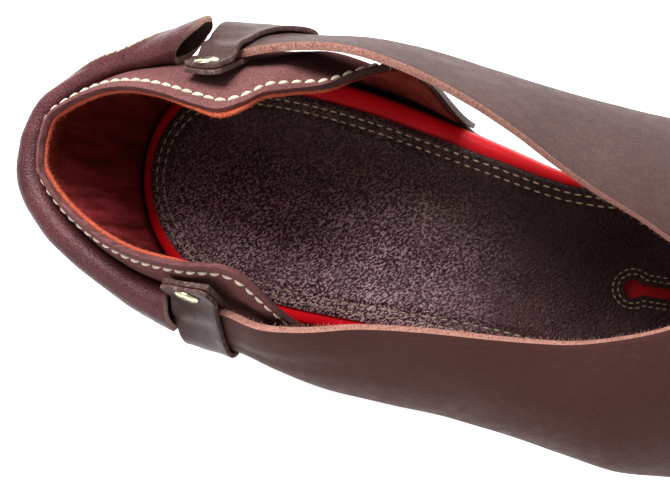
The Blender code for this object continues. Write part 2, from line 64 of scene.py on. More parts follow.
MM = 0.001
INNER = 1
OUTER = -1
SIDE_NAMES = {INNER: "inner", OUTER: "outer"}
UP = Vector((0, 0, 1))

# Driving dimensions of the solids, in millimetres and degrees
LENGTH = 252.0
HEEL_REST = 33.0
GAP = 0.3
FOOTBED_THICK = 8.0
RIM_ROUND = 3.2
SOCK_THICK = 1.2
SHELF = 3.1
COUNTER_WALL = 2.2
VAMP_WALL = 2.2
ROLL_WALL = 1.6
ROLL_ROOM = 0.1
KEEPER_WALL = 1.3
TAB_HEIGHT = 8.8
TAB_INSET = 2.6
TAB_LEAN = 18.0
STUD_RADIUS = 3.3
STUD_HEIGHT = 0.9
HEEL_ROUND = 30.0
TOE_ROUND = 55.0
MEAN_HALF = 32.0
THROAT_TAPER = 140.0
THROAT_APEX = 168.0
VAMP_FRONT = 206.0
FRONT_SWEEP = {INNER: 7.0, OUTER: -8.0}
WING_START = {INNER: 38.2, OUTER: 40.8}
WING_LIFT = (146.0, 190.0)
WING_JOIN = (118.0, 150.0)
RIDGE_LEAN = 86.0
FULLNESS = 0.36
SLOT = {"back": 139.5, "front": 174.0, "middle": -9.0, "bulb": 2.5, "neck": 1.4}
SLOT_ROWS = (1.4, 2.75)


class Table:
    """Rows of named columns, read on a smooth curve between the stations of the first column."""

    def __init__(self, columns, *rows):
        values = np.array(rows, float)
        self.stations = values[:, 0].tolist()
        self.columns = {}
        self.slopes = {}
        for index, name in enumerate(columns):
            self.columns[name] = values[:, index].tolist()
            self.slopes[name] = np.gradient(values[:, index], values[:, 0]).tolist()

    def read(self, name, at):
        xs, ys, slopes = self.stations, self.columns[name], self.slopes[name]
        left = min(max(bisect.bisect_left(xs, at) - 1, 0), len(xs) - 2)
        step = xs[left + 1] - xs[left]
        t = min(max((at - xs[left]) / step, 0.0), 1.0)
        start = (2 * t**3 - 3 * t**2 + 1) * ys[left] + (t**3 - 2 * t**2 + t) * step * slopes[left]
        end = (3 * t**2 - 2 * t**3) * ys[left + 1] + (t**3 - t**2) * step * slopes[left + 1]
        return start + end

    def read_straight(self, name, at):
        return float(np.interp(at, self.stations, self.columns[name]))


FOOTBED = Table(
    ("station", "centre", "half", "top"),
    (0, 4.6, 31.0, 34.0),
    (25, 2.6, 31.8, 34.0),
    (48, 0.9, 33.6, 34.0),
    (65, -0.4, 33.0, 33.5),
    (84, -2.5, 30.9, 32.0),
    (100, -4.6, 28.6, 29.3),
    (125, -8.8, 27.0, 23.5),
    (140, -11.2, 30.2, 19.5),
    (160, -11.0, 39.5, 15.0),
    (180, -8.4, 43.6, 13.0),
    (200, -4.6, 44.0, 13.2),
    (220, -0.6, 43.0, 14.6),
    (252, 4.0, 40.0, 19.0),
)

OUTSOLE = Table(
    ("station", "bottom", "taper", "shelf"),
    (0, 0.0, 3.5, 1.0),
    (62, 0.0, 3.5, 1.0),
    (66, 17.0, 1.0, 1.0),
    (84, 15.8, 1.0, 1.0),
    (94, 14.2, 1.5, 0.0),
    (125, 7.0, 2.0, 0.0),
    (145, 1.2, 2.0, 0.0),
    (152, 0.0, 2.0, 0.0),
    (172, 0.0, 2.0, 1.0),
    (205, 0.0, 2.0, 1.0),
    (225, 2.2, 2.0, 0.5),
    (252, 8.0, 2.0, 0.5),
)

# Width of red rim left round the sock, on each side of the foot
SOCK_RIM = Table(
    ("station", "inner", "outer"),
    (0, 3.8, 3.6),
    (25, 4.6, 3.6),
    (65, 5.8, 4.0),
    (84, 5.6, 4.2),
    (100, 4.8, 4.2),
    (118, 3.6, 4.2),
    (252, 3.6, 4.2),
)

# Collar of the counter, from the middle of the back (turn 0) to the front corner (turn 1)
COUNTER = Table(
    (
        "turn", "base", "top", "inner_x", "inner_half", "inner_lean", "inner_reach",
        "outer_x", "outer_half", "outer_lean", "outer_reach",
    ),
    (0.00, 0.0, 87.0, -2.6, 0.0, 50, 8, -2.6, 0.0, 50, 8),
    (0.07, 0.8, 87.0, -1.6, 6.0, 50, 8, -1.8, 5.8, 49, 8),
    (0.14, 2.8, 87.2, 1.2, 9.0, 48, 8, 0.8, 9.4, 46, 8),
    (0.22, 7.2, 88.0, 7.0, 13.0, 45, 8, 6.6, 13.6, 42, 8),
    (0.30, 14.0, 89.5, 14.2, 16.4, 43, 9, 14.2, 17.2, 37, 8),
    (0.38, 22.0, 91.6, 22.4, 18.2, 40, 11, 22.8, 19.8, 31, 9),
    (0.46, 32.0, 93.8, 32.0, 18.4, 45, 14, 33.0, 21.1, 31, 9),
    (0.53, 42.0, 95.6, 42.0, 17.6, 49, 16, 45.0, 20.6, 31, 9),
    (0.59, 51.0, 96.4, 49.5, 17.6, 51, 17, 55.5, 18.7, 36, 12),
    (0.64, 57.0, 95.0, 54.5, 20.4, 50, 17, 60.5, 19.4, 41, 14),
    (0.69, 61.0, 91.6, 58.0, 24.0, 47, 16, 64.0, 21.9, 44, 16),
    (0.75, 66.0, 87.0, 63.0, 26.4, 42, 15, 67.5, 25.2, 38, 15),
    (0.82, 74.0, 81.0, 70.5, 29.8, 34, 14, 71.5, 28.6, 30, 14),
    (0.89, 83.0, 76.5, 78.5, 35.8, 20, 14, 78.0, 31.6, 18, 14),
    (0.95, 88.5, 71.0, 85.0, 39.4, 8, 14, 85.0, 33.4, 8, 14),
    (1.00, 92.0, 62.0, 89.0, 38.8, 0, 12, 89.5, 34.0, 0, 12),
)

# How far the counter's wall bulges out below the collar, on each side of the foot
COUNTER_BULGE = Table(
    ("turn", "inner", "outer"),
    (0.00, 0.6, 0.6),
    (0.38, 0.6, 0.6),
    (0.53, 6.0, 1.0),
    (0.64, 9.5, 1.6),
    (0.75, 10.0, 1.6),
    (0.84, 7.0, 1.2),
    (0.93, 2.0, 0.8),
    (1.00, 0.6, 0.6),
)

# Lower edge of each wing, and how far the leather leans at that edge and at the throat
WING_COLUMNS = ("station", "low_y", "low_z", "low_lean", "high_lean")
WINGS = {
    INNER: Table(
        WING_COLUMNS,
        (35, 39.8, 74.5, 0, 20),
        (45, 40.6, 72.6, 0, 22),
        (55, 41.0, 70.2, 0, 22),
        (65, 41.6, 67.0, 2, 18),
        (75, 42.6, 63.0, 3, 18),
        (90, 41.8, 56.0, 5, 24),
        (105, 39.0, 48.5, 8, 34),
        (120, 36.8, 41.0, 10, 46),
        (135, 35.3, 34.0, 12, 58),
        (150, 34.4, 27.0, 12, 69),
        (168, 35.6, 19.0, 12, 78),
        (206, 38.0, 12.0, 10, 82),
        (222, 38.0, 12.0, 10, 82),
    ),
    OUTER: Table(
        WING_COLUMNS,
        (35, 37.1, 74.0, 0, 36),
        (45, 38.6, 72.0, 0, 40),
        (55, 39.9, 69.6, 0, 46),
        (65, 42.6, 66.5, 2, 46),
        (75, 45.0, 62.5, 4, 48),
        (90, 46.5, 55.5, 6, 52),
        (105, 47.6, 48.5, 8, 54),
        (120, 49.3, 42.0, 10, 56),
        (135, 52.0, 36.0, 12, 61),
        (150, 54.6, 30.0, 12, 68),
        (168, 54.4, 22.0, 12, 78),
        (206, 52.0, 12.0, 10, 82),
        (222, 50.0, 12.0, 10, 82),
    ),
}

# The throat between the wings' upper edges
THROAT = Table(
    ("station", "centre", "half", "inner_z", "outer_z"),
    (35, 1.6, 32.2, 81.0, 79.5),
    (45, 1.5, 32.2, 84.0, 82.0),
    (55, 2.8, 33.2, 86.3, 86.0),
    (65, 2.8, 34.9, 87.6, 87.6),
    (75, 3.5, 34.7, 88.0, 88.0),
    (90, 4.0, 31.9, 86.0, 86.0),
    (105, 2.4, 28.6, 83.0, 83.0),
    (120, -0.7, 24.6, 79.0, 79.0),
    (130, -3.3, 21.3, 75.8, 75.8),
    (140, -5.3, 18.1, 72.4, 72.4),
    (150, -6.1, 14.5, 68.8, 68.8),
    (168, -7.2, 0.0, 61.0, 61.0),
    (206, -4.0, 0.0, 47.0, 47.0),
    (222, -3.0, 0.0, 42.0, 42.0),
)

# Ridge of the arch over the foot: behind the throat's end the leather stops short of it
RIDGE = Table(
    ("station", "height"),
    (118, 86.0),
    (140, 76.8),
    (150, 72.0),
    (168, 62.0),
    (186, 53.6),
    (206, 47.0),
    (222, 43.0),
)

# Rear and front edge of each keeper at its riveted tab, and at the fold under the wing
KEEPERS = {
    INNER: {"tab": (36.5, 48.0), "fold": (38.0, 60.5), "fold_width": 0.15},
    OUTER: {"tab": (39.0, 54.0), "fold": (40.5, 53.0), "fold_width": 0.17},
}

# The heel roll, from its mouth on the outer side (share -1) to the one on the inner side (share 1)
ROLL = Table(
    ("share", "radius", "height"),
    (-1.0, 5.4, 79.5),
    (-0.8, 4.2, 80.0),
    (-0.4, 4.0, 80.5),
    (0.0, 3.5, 79.5),
    (0.2, 2.8, 79.0),
    (0.5, 2.6, 79.0),
    (0.7, 3.0, 79.5),
    (0.85, 4.2, 80.5),
    (1.0, 6.2, 81.0),
)
ROLL_END = {INNER: 37.4, OUTER: 40.0}
MOUTH_SLANT = {INNER: 8.5, OUTER: 3.0}     # how far a mouth's inner lip lies behind its outer lip

# Soft creases in the sock: middle, direction in degrees, half length, half width and depth
SOCK_CREASES = (
    {"x": 40, "y": -12, "turn": 14, "long": 16, "wide": 1.6, "deep": 0.35},
    {"x": 54, "y": -4, "turn": 6, "long": 18, "wide": 2.2, "deep": 0.30},
    {"x": 47, "y": 11, "turn": -8, "long": 12, "wide": 1.8, "deep": 0.22},
    {"x": 78, "y": -17, "turn": -6, "long": 14, "wide": 1.8, "deep": 0.25},
    {"x": 96, "y": 2, "turn": -18, "long": 16, "wide": 2.4, "deep": 0.22},
    {"x": 112, "y": -14, "turn": -22, "long": 12, "wide": 2.0, "deep": 0.25},
    {"x": 168, "y": -24, "turn": 78, "long": 12, "wide": 2.2, "deep": 0.30},
    {"x": 176, "y": 6, "turn": 96, "long": 14, "wide": 2.4, "deep": 0.30},
)

# Soft troughs in the vamp: side, station, share up the section, slant, half length, half width, depth
VAMP_CREASES = (
    {"side": OUTER, "x": 62, "t": 0.45, "slant": 35, "long": 16, "wide": 4.0, "deep": 0.45},
    {"side": OUTER, "x": 78, "t": 0.62, "slant": 20, "long": 20, "wide": 5.0, "deep": 0.40},
    {"side": OUTER, "x": 112, "t": 0.35, "slant": 55, "long": 18, "wide": 5.0, "deep": 0.35},
    {"side": INNER, "x": 66, "t": 0.50, "slant": 30, "long": 14, "wide": 4.0, "deep": 0.40},
    {"side": INNER, "x": 100, "t": 0.55, "slant": 20, "long": 20, "wide": 5.0, "deep": 0.30},
    {"side": OUTER, "x": 178, "t": 0.55, "slant": 80, "long": 24, "wide": 3.5, "deep": 0.45},
    {"side": INNER, "x": 181, "t": 0.60, "slant": 84, "long": 24, "wide": 3.5, "deep": 0.45},
)


def length_property(name, description, default):
    return FloatProperty(
        name=name, description=description, default=default, unit="LENGTH", precision=5,
    )


class SandalSizes(bpy.types.PropertyGroup):
    """Sizes of what is sewn, lined and riveted on the solids."""

    collar_pitch: length_property("Collar pitch", "From stitch to stitch round the collar", 0.0034)
    collar_thread: length_property("Collar thread", "Thickness of the collar's thread", 0.001)
    collar_inset: length_property("Collar inset", "From the collar's edge to its row of stitches", 0.0032)
    sock_pitch: length_property("Sock pitch", "From stitch to stitch round the sock", 0.0028)
    sock_thread: length_property("Sock thread", "Thickness of the sock's thread", 0.0005)
    sock_first_row: length_property("Sock first row", "From the sock's edge to its outer row", 0.0021)
    sock_row_gap: length_property("Sock row gap", "Between the sock's two rows of stitches", 0.0021)
    slot_pitch: length_property("Slot pitch", "From stitch to stitch round the slot", 0.00175)
    heel_dish: length_property("Heel dish", "How far the sock is pressed in under the heel", 0.0019)
    lining_thick: length_property("Lining", "Thickness of the counter's lining, inside its wall", 0.0007)
    lining_drop: length_property("Lining drop", "From the collar's edge down to the lining's raw edge", 0.001)
    fibre_length: length_property("Fibre length", "Length of the longest loose fibres on raw edges", 0.0013)
    fibres_per_edge: IntProperty(
        name="Fibres per edge", description="Loose fibres along each edge of the throat",
        default=900, min=0, max=2000,
    )


def colour_property(name, description, red, green, blue):
    return FloatVectorProperty(
        name=name, description=description, subtype="COLOR", size=3, min=0, max=1,
        default=(red, green, blue),
    )


class SandalColours(bpy.types.PropertyGroup):
    """Linear colours of the leathers, thread and metal."""

    vamp: colour_property("Vamp", "Grain side of the vamp", 0.078, 0.036, 0.032)
    vamp_raw: colour_property("Raw edge", "Cut edges of the vamp", 0.40, 0.19, 0.15)
    counter: colour_property("Counter", "Outside of the counter", 0.165, 0.066, 0.064)
    collar_edge: colour_property("Collar edge", "Burnished edge of the collar", 0.115, 0.038, 0.038)
    lining: colour_property("Lining", "Suede inside the counter", 0.135, 0.007, 0.008)
    lining_raw: colour_property("Lining edge", "Raw edge of the lining", 0.56, 0.115, 0.060)
    roll: colour_property("Roll", "Grain side of the heel roll", 0.088, 0.025, 0.028)
    roll_raw: colour_property("Roll edge", "Raw mouths of the heel roll", 0.36, 0.21, 0.17)
    sock: colour_property("Sock", "Grain side of the sock", 0.038, 0.0085, 0.0115)
    rim: colour_property("Rim", "Covering of the footbed", 0.72, 0.005, 0.012)
    keeper: colour_property("Keeper", "Grain side of the keepers", 0.062, 0.032, 0.030)
    keeper_edge: colour_property("Keeper edge", "Cut edges of the keepers", 0.085, 0.042, 0.042)
    thread: colour_property("Thread", "Thread of the collar and the roll", 0.80, 0.69, 0.52)
    sock_thread: colour_property("Sock thread", "Thread of the sock", 0.66, 0.54, 0.34)
    brass: colour_property("Brass", "Rivet heads", 0.80, 0.72, 0.48)
    outsole: colour_property("Outsole", "Edges of the outsole and heel", 0.038, 0.018, 0.014)
    floor: colour_property("Floor", "The pale floor of the stage", 0.92, 0.92, 0.92)


def sizes():
    return bpy.context.scene.sandal_sizes


def colours():
    return bpy.context.scene.sandal_colours


def in_mm(length):
    return length / MM


def in_row(point):
    """A point of the design frame, in millimetres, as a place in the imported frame, in metres."""
    return Vector((point[0] - HEEL_REST, point[1], point[2])) * MM


# Surfaces of the solids


def smooth_step(start, end, at):
    t = min(max((at - start) / (end - start), 0.0), 1.0)
    return t * t * (3 - 2 * t)


def bell(at, middle, width):
    return math.exp(-(((at - middle) / width) ** 2))


def bezier(points, t):
    a, b, c, d = points
    s = 1 - t
    return a * s**3 + b * (3 * s * s * t) + c * (3 * s * t * t) + d * t**3


def halved(low, high, steps, short_of):
    """The narrow span round the place between low and high up to which short_of(place) holds."""
    for _ in range(steps):
        middle = (low + high) / 2
        if short_of(middle):
            low = middle
        else:
            high = middle
    return low, high


def half_width(x):
    """Half the footbed's width at station x, rounded off at heel and toe."""
    heel = max(HEEL_ROUND - x, 0.0) / HEEL_ROUND
    toe = max(x - LENGTH + TOE_ROUND, 0.0) / TOE_ROUND
    ends = math.sqrt(max(1 - heel**2, 0.0)) * math.sqrt(max(1 - toe**2, 0.0))
    return FOOTBED.read("half", x) * ends


def side_edge(x, side):
    return FOOTBED.read("centre", x) + side * half_width(x)


def outline_normal(x, side):
    """Outward unit normal, in plan, of the footbed's outline at station x."""
    step = 0.01
    if x < step:
        return Vector((-1, 0, 0))
    if x > LENGTH - step:
        return Vector((1, 0, 0))
    rise = (side_edge(x + step / 2, side) - side_edge(x - step / 2, side)) / step
    return Vector((-rise, 1, 0)).normalized() * side


def sole_edge(x, side, grow, height):
    return Vector((x, side_edge(x, side), height)) + outline_normal(x, side) * grow


def inset_edge(x, side, inset, end_inset, height):
    """Outline point at station x drawn in by inset, and by end_inset along the foot."""
    inside = end_inset + x * (1 - 2 * end_inset / LENGTH)
    width = half_width(x) * (1 - inset / MEAN_HALF)
    return Vector((inside, FOOTBED.read("centre", inside) + side * width, height))


def drawn_in(x, edge, spread):
    """An outline point of station x drawn towards the middle line."""
    centre = FOOTBED.read("centre", x)
    return Vector((edge.x, centre + (edge.y - centre) * spread, edge.z))


def pair_at(x, grow, height, spread=1.0):
    """The two outline points at station x, moved out by grow and drawn towards the middle."""
    points = []
    for side in (INNER, OUTER):
        edge = sole_edge(x, side, grow, height) if grow >= 0 else inset_edge(x, side, -grow, -grow, height)
        points.append(drawn_in(x, edge, spread))
    return points


def sock_pair(x, height, spread=1.0, inside=0.0):
    """The two points at station x of the sock's outline, or of a line inside it."""
    end_inset = (SOCK_RIM.read("inner", 0.0) + SOCK_RIM.read("outer", 0.0)) / 2
    points = []
    for side in (INNER, OUTER):
        inset = SOCK_RIM.read(SIDE_NAMES[side], x) + inside
        points.append(drawn_in(x, inset_edge(x, side, inset, end_inset + inside, height), spread))
    return points


def stations_along(start, end, middle, heel_steps, toe_steps):
    """Stations from end to end of the sole: close together in the two rounded ends."""
    heel = start + HEEL_ROUND * (1 - np.cos(np.linspace(0, math.pi / 2, heel_steps)))
    toe = end - TOE_ROUND * (1 - np.sin(np.linspace(0, math.pi / 2, toe_steps)))
    return np.concatenate([heel, middle, toe]).tolist()


def counter_point(turn, side, t):
    """Point in the middle of the counter's wall: t runs from its lower edge to the collar."""
    base_x = COUNTER.read("base", turn)
    out = outline_normal(base_x, side)
    bottom = FOOTBED.read("top", base_x) - FOOTBED_THICK
    foot = sole_edge(base_x, side, GAP + COUNTER_WALL / 2, bottom)
    name = SIDE_NAMES[side]
    top_x = COUNTER.read(f"{name}_x", turn)
    top_y = FOOTBED.read("centre", max(top_x, 0.0)) + side * COUNTER.read(f"{name}_half", turn)
    high = Vector((top_x, top_y, COUNTER.read("top", turn)))
    lean = math.radians(COUNTER.read(f"{name}_lean", turn))
    reach = COUNTER.read(f"{name}_reach", turn)
    low_pull = foot + out * COUNTER_BULGE.read(name, turn) + UP * (high.z - bottom) * 0.5
    high_pull = high + out * math.sin(lean) * reach - UP * math.cos(lean) * reach
    return bezier((foot, low_pull, high_pull, high), t)


def counter_normal(turn, side, t):
    """Outward unit normal of the counter's wall."""
    step = 0.004
    along = counter_point(min(turn + step, 1.0), side, t) - counter_point(max(turn - step, 0.0), side, t)
    if turn < step:
        along = Vector((0, side, 0))
    up = counter_point(turn, side, min(t + step, 1.0)) - counter_point(turn, side, max(t - step, 0.0))
    return (up.cross(along) * side).normalized()


def counter_depth(turn, side, depth):
    """Share t of the counter's section at a small depth under the collar's edge, or past the edge."""
    if depth <= 0:
        return 1 - depth / (3 * COUNTER.read(f"{SIDE_NAMES[side]}_reach", turn))
    top = counter_point(turn, side, 1.0)
    return halved(0.4, 1.0, 14, lambda t: (counter_point(turn, side, t) - top).length > depth)[1]


def counter_at_height(turn, side, height):
    """Share t of the counter's section at a height above the floor."""
    return halved(0.0, 1.0, 20, lambda t: counter_point(turn, side, t).z < height)[0]


def roll_centre(turn, side, height):
    """Where the heel roll touches the counter at that height, and the level way out from there."""
    t = counter_at_height(turn, side, height)
    normal = counter_normal(turn, side, t)
    out = Vector((normal.x, normal.y, 0)).normalized()
    return counter_point(turn, side, t) + normal * (COUNTER_WALL / 2 + ROLL_ROOM), out


def roll_last_turn(side):
    """Turn of the counter where the heel roll's end lies."""
    height = ROLL.read("height", side)
    return halved(0.1, 0.9, 20, lambda turn: roll_centre(turn, side, height)[0].x < ROLL_END[side])[0]


LAST_TURN = {side: roll_last_turn(side) for side in (INNER, OUTER)}


def roll_ring(share):
    """Centre, way out and outer radius of the roll: share runs from its outer mouth (-1) to its
    inner mouth (1)."""
    side = INNER if share > 0 else OUTER
    touch, out = roll_centre(LAST_TURN[side] * abs(share), side, ROLL.read("height", share))
    radius = ROLL.read("radius", share)
    return touch + out * radius, out, radius


def roll_point(share, turn, depth):
    """Point of the roll at a turn round it, in radians from its outer side up, and at a depth under
    its surface. The mouths are cut on a slant."""
    side = INNER if share > 0 else OUTER
    centre, out, radius = roll_ring(share)
    back = out.cross(UP) * -side
    slant = MOUTH_SLANT[side] * smooth_step(0.6, 1.0, abs(share)) * (1 - math.cos(turn)) / 2
    return centre + (out * math.cos(turn) + UP * math.sin(turn)) * (radius - depth) + back * slant


def arch(side, low, high, low_lean, high_lean):
    """Half a section across the foot, as the four (y, z) points of a curve."""
    pull = FULLNESS * (high - low).length
    rise = Vector((side * math.sin(low_lean), math.cos(low_lean))) * pull
    fall = Vector((side * math.sin(high_lean), -math.cos(high_lean))) * pull
    return low, low + rise, high + fall, high


def share_of_arch(curve, side, edge):
    """How much of an arch lies outside the throat's edge."""
    return halved(0.0, 1.0, 20, lambda t: bezier(curve, t).x * side > edge * side)[1]


def throat_edge(side, x):
    """Y of the throat's edge at station x, or of the ridge ahead of its round end."""
    half = THROAT.read("half", min(x, THROAT_TAPER))
    if x > THROAT_TAPER:
        half *= math.sqrt(max(THROAT_APEX - x, 0.0) / (THROAT_APEX - THROAT_TAPER))
    return THROAT.read("centre", x) + side * half


def vamp_point(side, x, t):
    """Point in the middle of the vamp's wall at station x: t runs from its lower edge to the throat
    edge, or to the ridge ahead of the throat."""
    wing = WINGS[side]
    seated = smooth_step(*WING_LIFT, x)
    sole = sole_edge(x, side, GAP + VAMP_WALL / 2, FOOTBED.read("top", x) - FOOTBED_THICK)
    free = Vector((side * wing.read("low_y", x), wing.read("low_z", x)))
    low = free.lerp(Vector((sole.y, sole.z)), seated)
    low_lean = math.radians(wing.read("low_lean", x))
    edge = throat_edge(side, x)
    high = Vector((edge, THROAT.read(f"{SIDE_NAMES[side]}_z", x)))
    point = bezier(arch(side, low, high, low_lean, math.radians(wing.read("high_lean", x))), t)
    joined = smooth_step(*WING_JOIN, x)
    if joined > 0:
        ridge = Vector((THROAT.read("centre", x), RIDGE.read("height", x)))
        over_foot = arch(side, low, ridge, low_lean, math.radians(RIDGE_LEAN))
        share = share_of_arch(over_foot, side, edge)
        point = point.lerp(bezier(over_foot, t * share), joined)
    return Vector((x, point.x, point.y))


def wing_frame(side, x, t):
    """A point of the wing and the outward normal of its section there."""
    step = 0.02
    along = vamp_point(side, x, min(t + step, 1.0)) - vamp_point(side, x, max(t - step, 0.0))
    return vamp_point(side, x, t), Vector((0, side * along.z, -side * along.y)).normalized()


def keeper_path(side, x):
    """Points of a keeper's middle line at station x: from the inner end of its tab, under the wing,
    to the outer end."""
    away = VAMP_WALL / 2 + GAP + KEEPER_WALL / 2
    out = Vector((0, side, 0))
    top, top_normal = wing_frame(side, x, 1.0)
    bottom, bottom_normal = wing_frame(side, x, 0.0)
    lean = math.radians(TAB_LEAN)
    rise = (UP * math.cos(lean) - out * math.sin(lean)) * TAB_HEIGHT
    layer = (out * math.cos(lean) + UP * math.sin(lean)) * (KEEPER_WALL + GAP) / 2
    tab = top - out * TAB_INSET + UP * (away + 1.0)
    heights = (1.0, 0.6, 0.2)
    inside = [tab - layer + rise * share for share in heights]
    outside = [top + (UP + out * 0.75) * away]
    outside += [tab + layer + rise * share for share in reversed(heights)]
    inside.append(top - top_normal * away)
    for t in (0.75, 0.5, 0.25):
        point, normal = wing_frame(side, x, t)
        inside.append(point - normal * away)
        outside.insert(0, point + normal * away)
    down = bottom_normal.cross(Vector((side, 0, 0)))
    turns = [math.pi * step / 4 for step in range(5)]
    fold = [bottom + (down * math.sin(a) - bottom_normal * math.cos(a)) * away for a in turns]
    return [*inside, *fold, *outside]


class KeeperSurface:
    """The middle of a keeper's wall, read between middle lines worked out at even stations."""

    lines = 25

    def __init__(self, side):
        self.sizes = KEEPERS[side]
        ends = [*self.sizes["tab"], *self.sizes["fold"]]
        self.first = min(ends)
        self.step = (max(ends) - self.first) / (self.lines - 1)
        self.curves = [self.line(side, self.first + self.step * i) for i in range(self.lines)]

    def line(self, side, x):
        path = keeper_path(side, x)
        lengths = [0.0]
        for start, end in zip(path, path[1:]):
            lengths.append(lengths[-1] + (end - start).length)
        rows = [(length / lengths[-1], *point) for length, point in zip(lengths, path)]
        return Table(("share", "x", "y", "z"), *rows)

    def point(self, along, across):
        """along runs from tab to tab, across from the rear edge to the front."""
        tab, fold = self.sizes["tab"], self.sizes["fold"]
        folded = bell(along, 0.5, self.sizes["fold_width"])
        rear = tab[0] + (fold[0] - tab[0]) * folded
        front = tab[1] + (fold[1] - tab[1]) * folded
        x = rear + (front - rear) * across
        place = (x - self.first) / self.step
        left = min(int(place), self.lines - 2)
        ends = []
        for curve in self.curves[left : left + 2]:
            ends.append(Vector([curve.read(axis, along) for axis in "xyz"]))
        return ends[0].lerp(ends[1], place - left)


# Meshes


def grid(columns, rows, place):
    """A grid of columns by rows faces, each corner put where place(along, across) says. The two
    shares stay on the corners, as layers of their own."""
    made = bmesh.new()
    bmesh.ops.create_grid(made, x_segments=columns, y_segments=rows, size=0.5)
    along_layer = made.verts.layers.float.new("along")
    across_layer = made.verts.layers.float.new("across")
    for corner in made.verts:
        along = round((corner.co.x + 0.5) * columns) / columns
        across = round((corner.co.y + 0.5) * rows) / rows
        corner[along_layer] = along
        corner[across_layer] = across
        corner.co = in_row(place(along, across))
    return made


def loft(stations, profile):
    """A closed mesh through the stations. profile(x) is half a section, from the middle of the bottom
    to the middle of the top, as (inner side point, outer side point) pairs."""
    sections = []
    for x in stations:
        half = profile(x)
        sections.append([pair[0] for pair in half] + [pair[1] for pair in reversed(half)])
    last, around = len(stations) - 1, len(sections[0])
    return grid(last, around, lambda u, v: sections[round(u * last)][round(v * around) % around])


def tidy_faces(made, outward=None):
    """Merges doubles and turns every face outwards: outward(place) gives the way out of a sheet."""
    bmesh.ops.remove_doubles(made, verts=made.verts, dist=0.01 * MM)
    bmesh.ops.dissolve_degenerate(made, edges=made.edges, dist=0.005 * MM)
    bmesh.ops.recalc_face_normals(made, faces=made.faces)
    if outward is None:
        wrong = made.calc_volume(signed=True) < 0
    else:
        wrong = sum(f.normal.dot(outward(f.calc_center_median())) for f in made.faces) < 0
    if wrong:
        bmesh.ops.reverse_faces(made, faces=made.faces)
    made.normal_update()


def push_out(made, amount):
    """Moves each corner along its normal by amount(along, across, place), in millimetres."""
    along = made.verts.layers.float["along"]
    across = made.verts.layers.float["across"]
    moves = [(v, v.normal * amount(v[along], v[across], v.co) * MM) for v in made.verts]
    for corner, move in moves:
        corner.co += move


def join_meshes(parts):
    """One bmesh out of several, which are freed."""
    joined = bmesh.new()
    for part in parts:
        mesh = bpy.data.meshes.new("part")
        part.to_mesh(mesh)
        part.free()
        joined.from_mesh(mesh)
        bpy.data.meshes.remove(mesh)
    return joined


def add_piece(name, made, finishes, nodes=()):
    """The bmesh as a piece that rides on the shoe, and stands for the solids named in nodes."""
    mesh = bpy.data.meshes.new(name)
    made.to_mesh(mesh)
    made.free()
    mesh.shade_smooth()
    for finish in finishes:
        mesh.materials.append(finish)
    piece = bpy.data.objects.new(name, mesh)
    bpy.context.scene.collection.objects.link(piece)
    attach(piece, BODY)
    if nodes:
        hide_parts(*nodes)
    return piece


def give_wall(piece, thick, offset=0.0, inside=0, edge=0):
    """Gives a sheet its wall. inside and edge are the places of their finishes in the piece's list."""
    wall = piece.modifiers.new("wall", "SOLIDIFY")
    wall.thickness = thick * MM
    wall.offset = offset
    wall.use_even_offset = True
    wall.material_offset = inside
    wall.material_offset_rim = edge


def round_edges(piece, width, segments, angle=50):
    rounding = piece.modifiers.new("rounding", "BEVEL")
    rounding.affect = "EDGES"
    rounding.limit_method = "ANGLE"
    rounding.angle_limit = math.radians(angle)
    rounding.width = width * MM
    rounding.segments = segments
    rounding.profile = 0.5
    rounding.material = -1


def rough(place, size, seed=0.0):
    """Smooth noise from -1 to 1 at a place in metres, with features of about size millimetres."""
    return noise.noise(place / (size * MM) + Vector((seed, seed * 0.7, -seed)))


# Materials


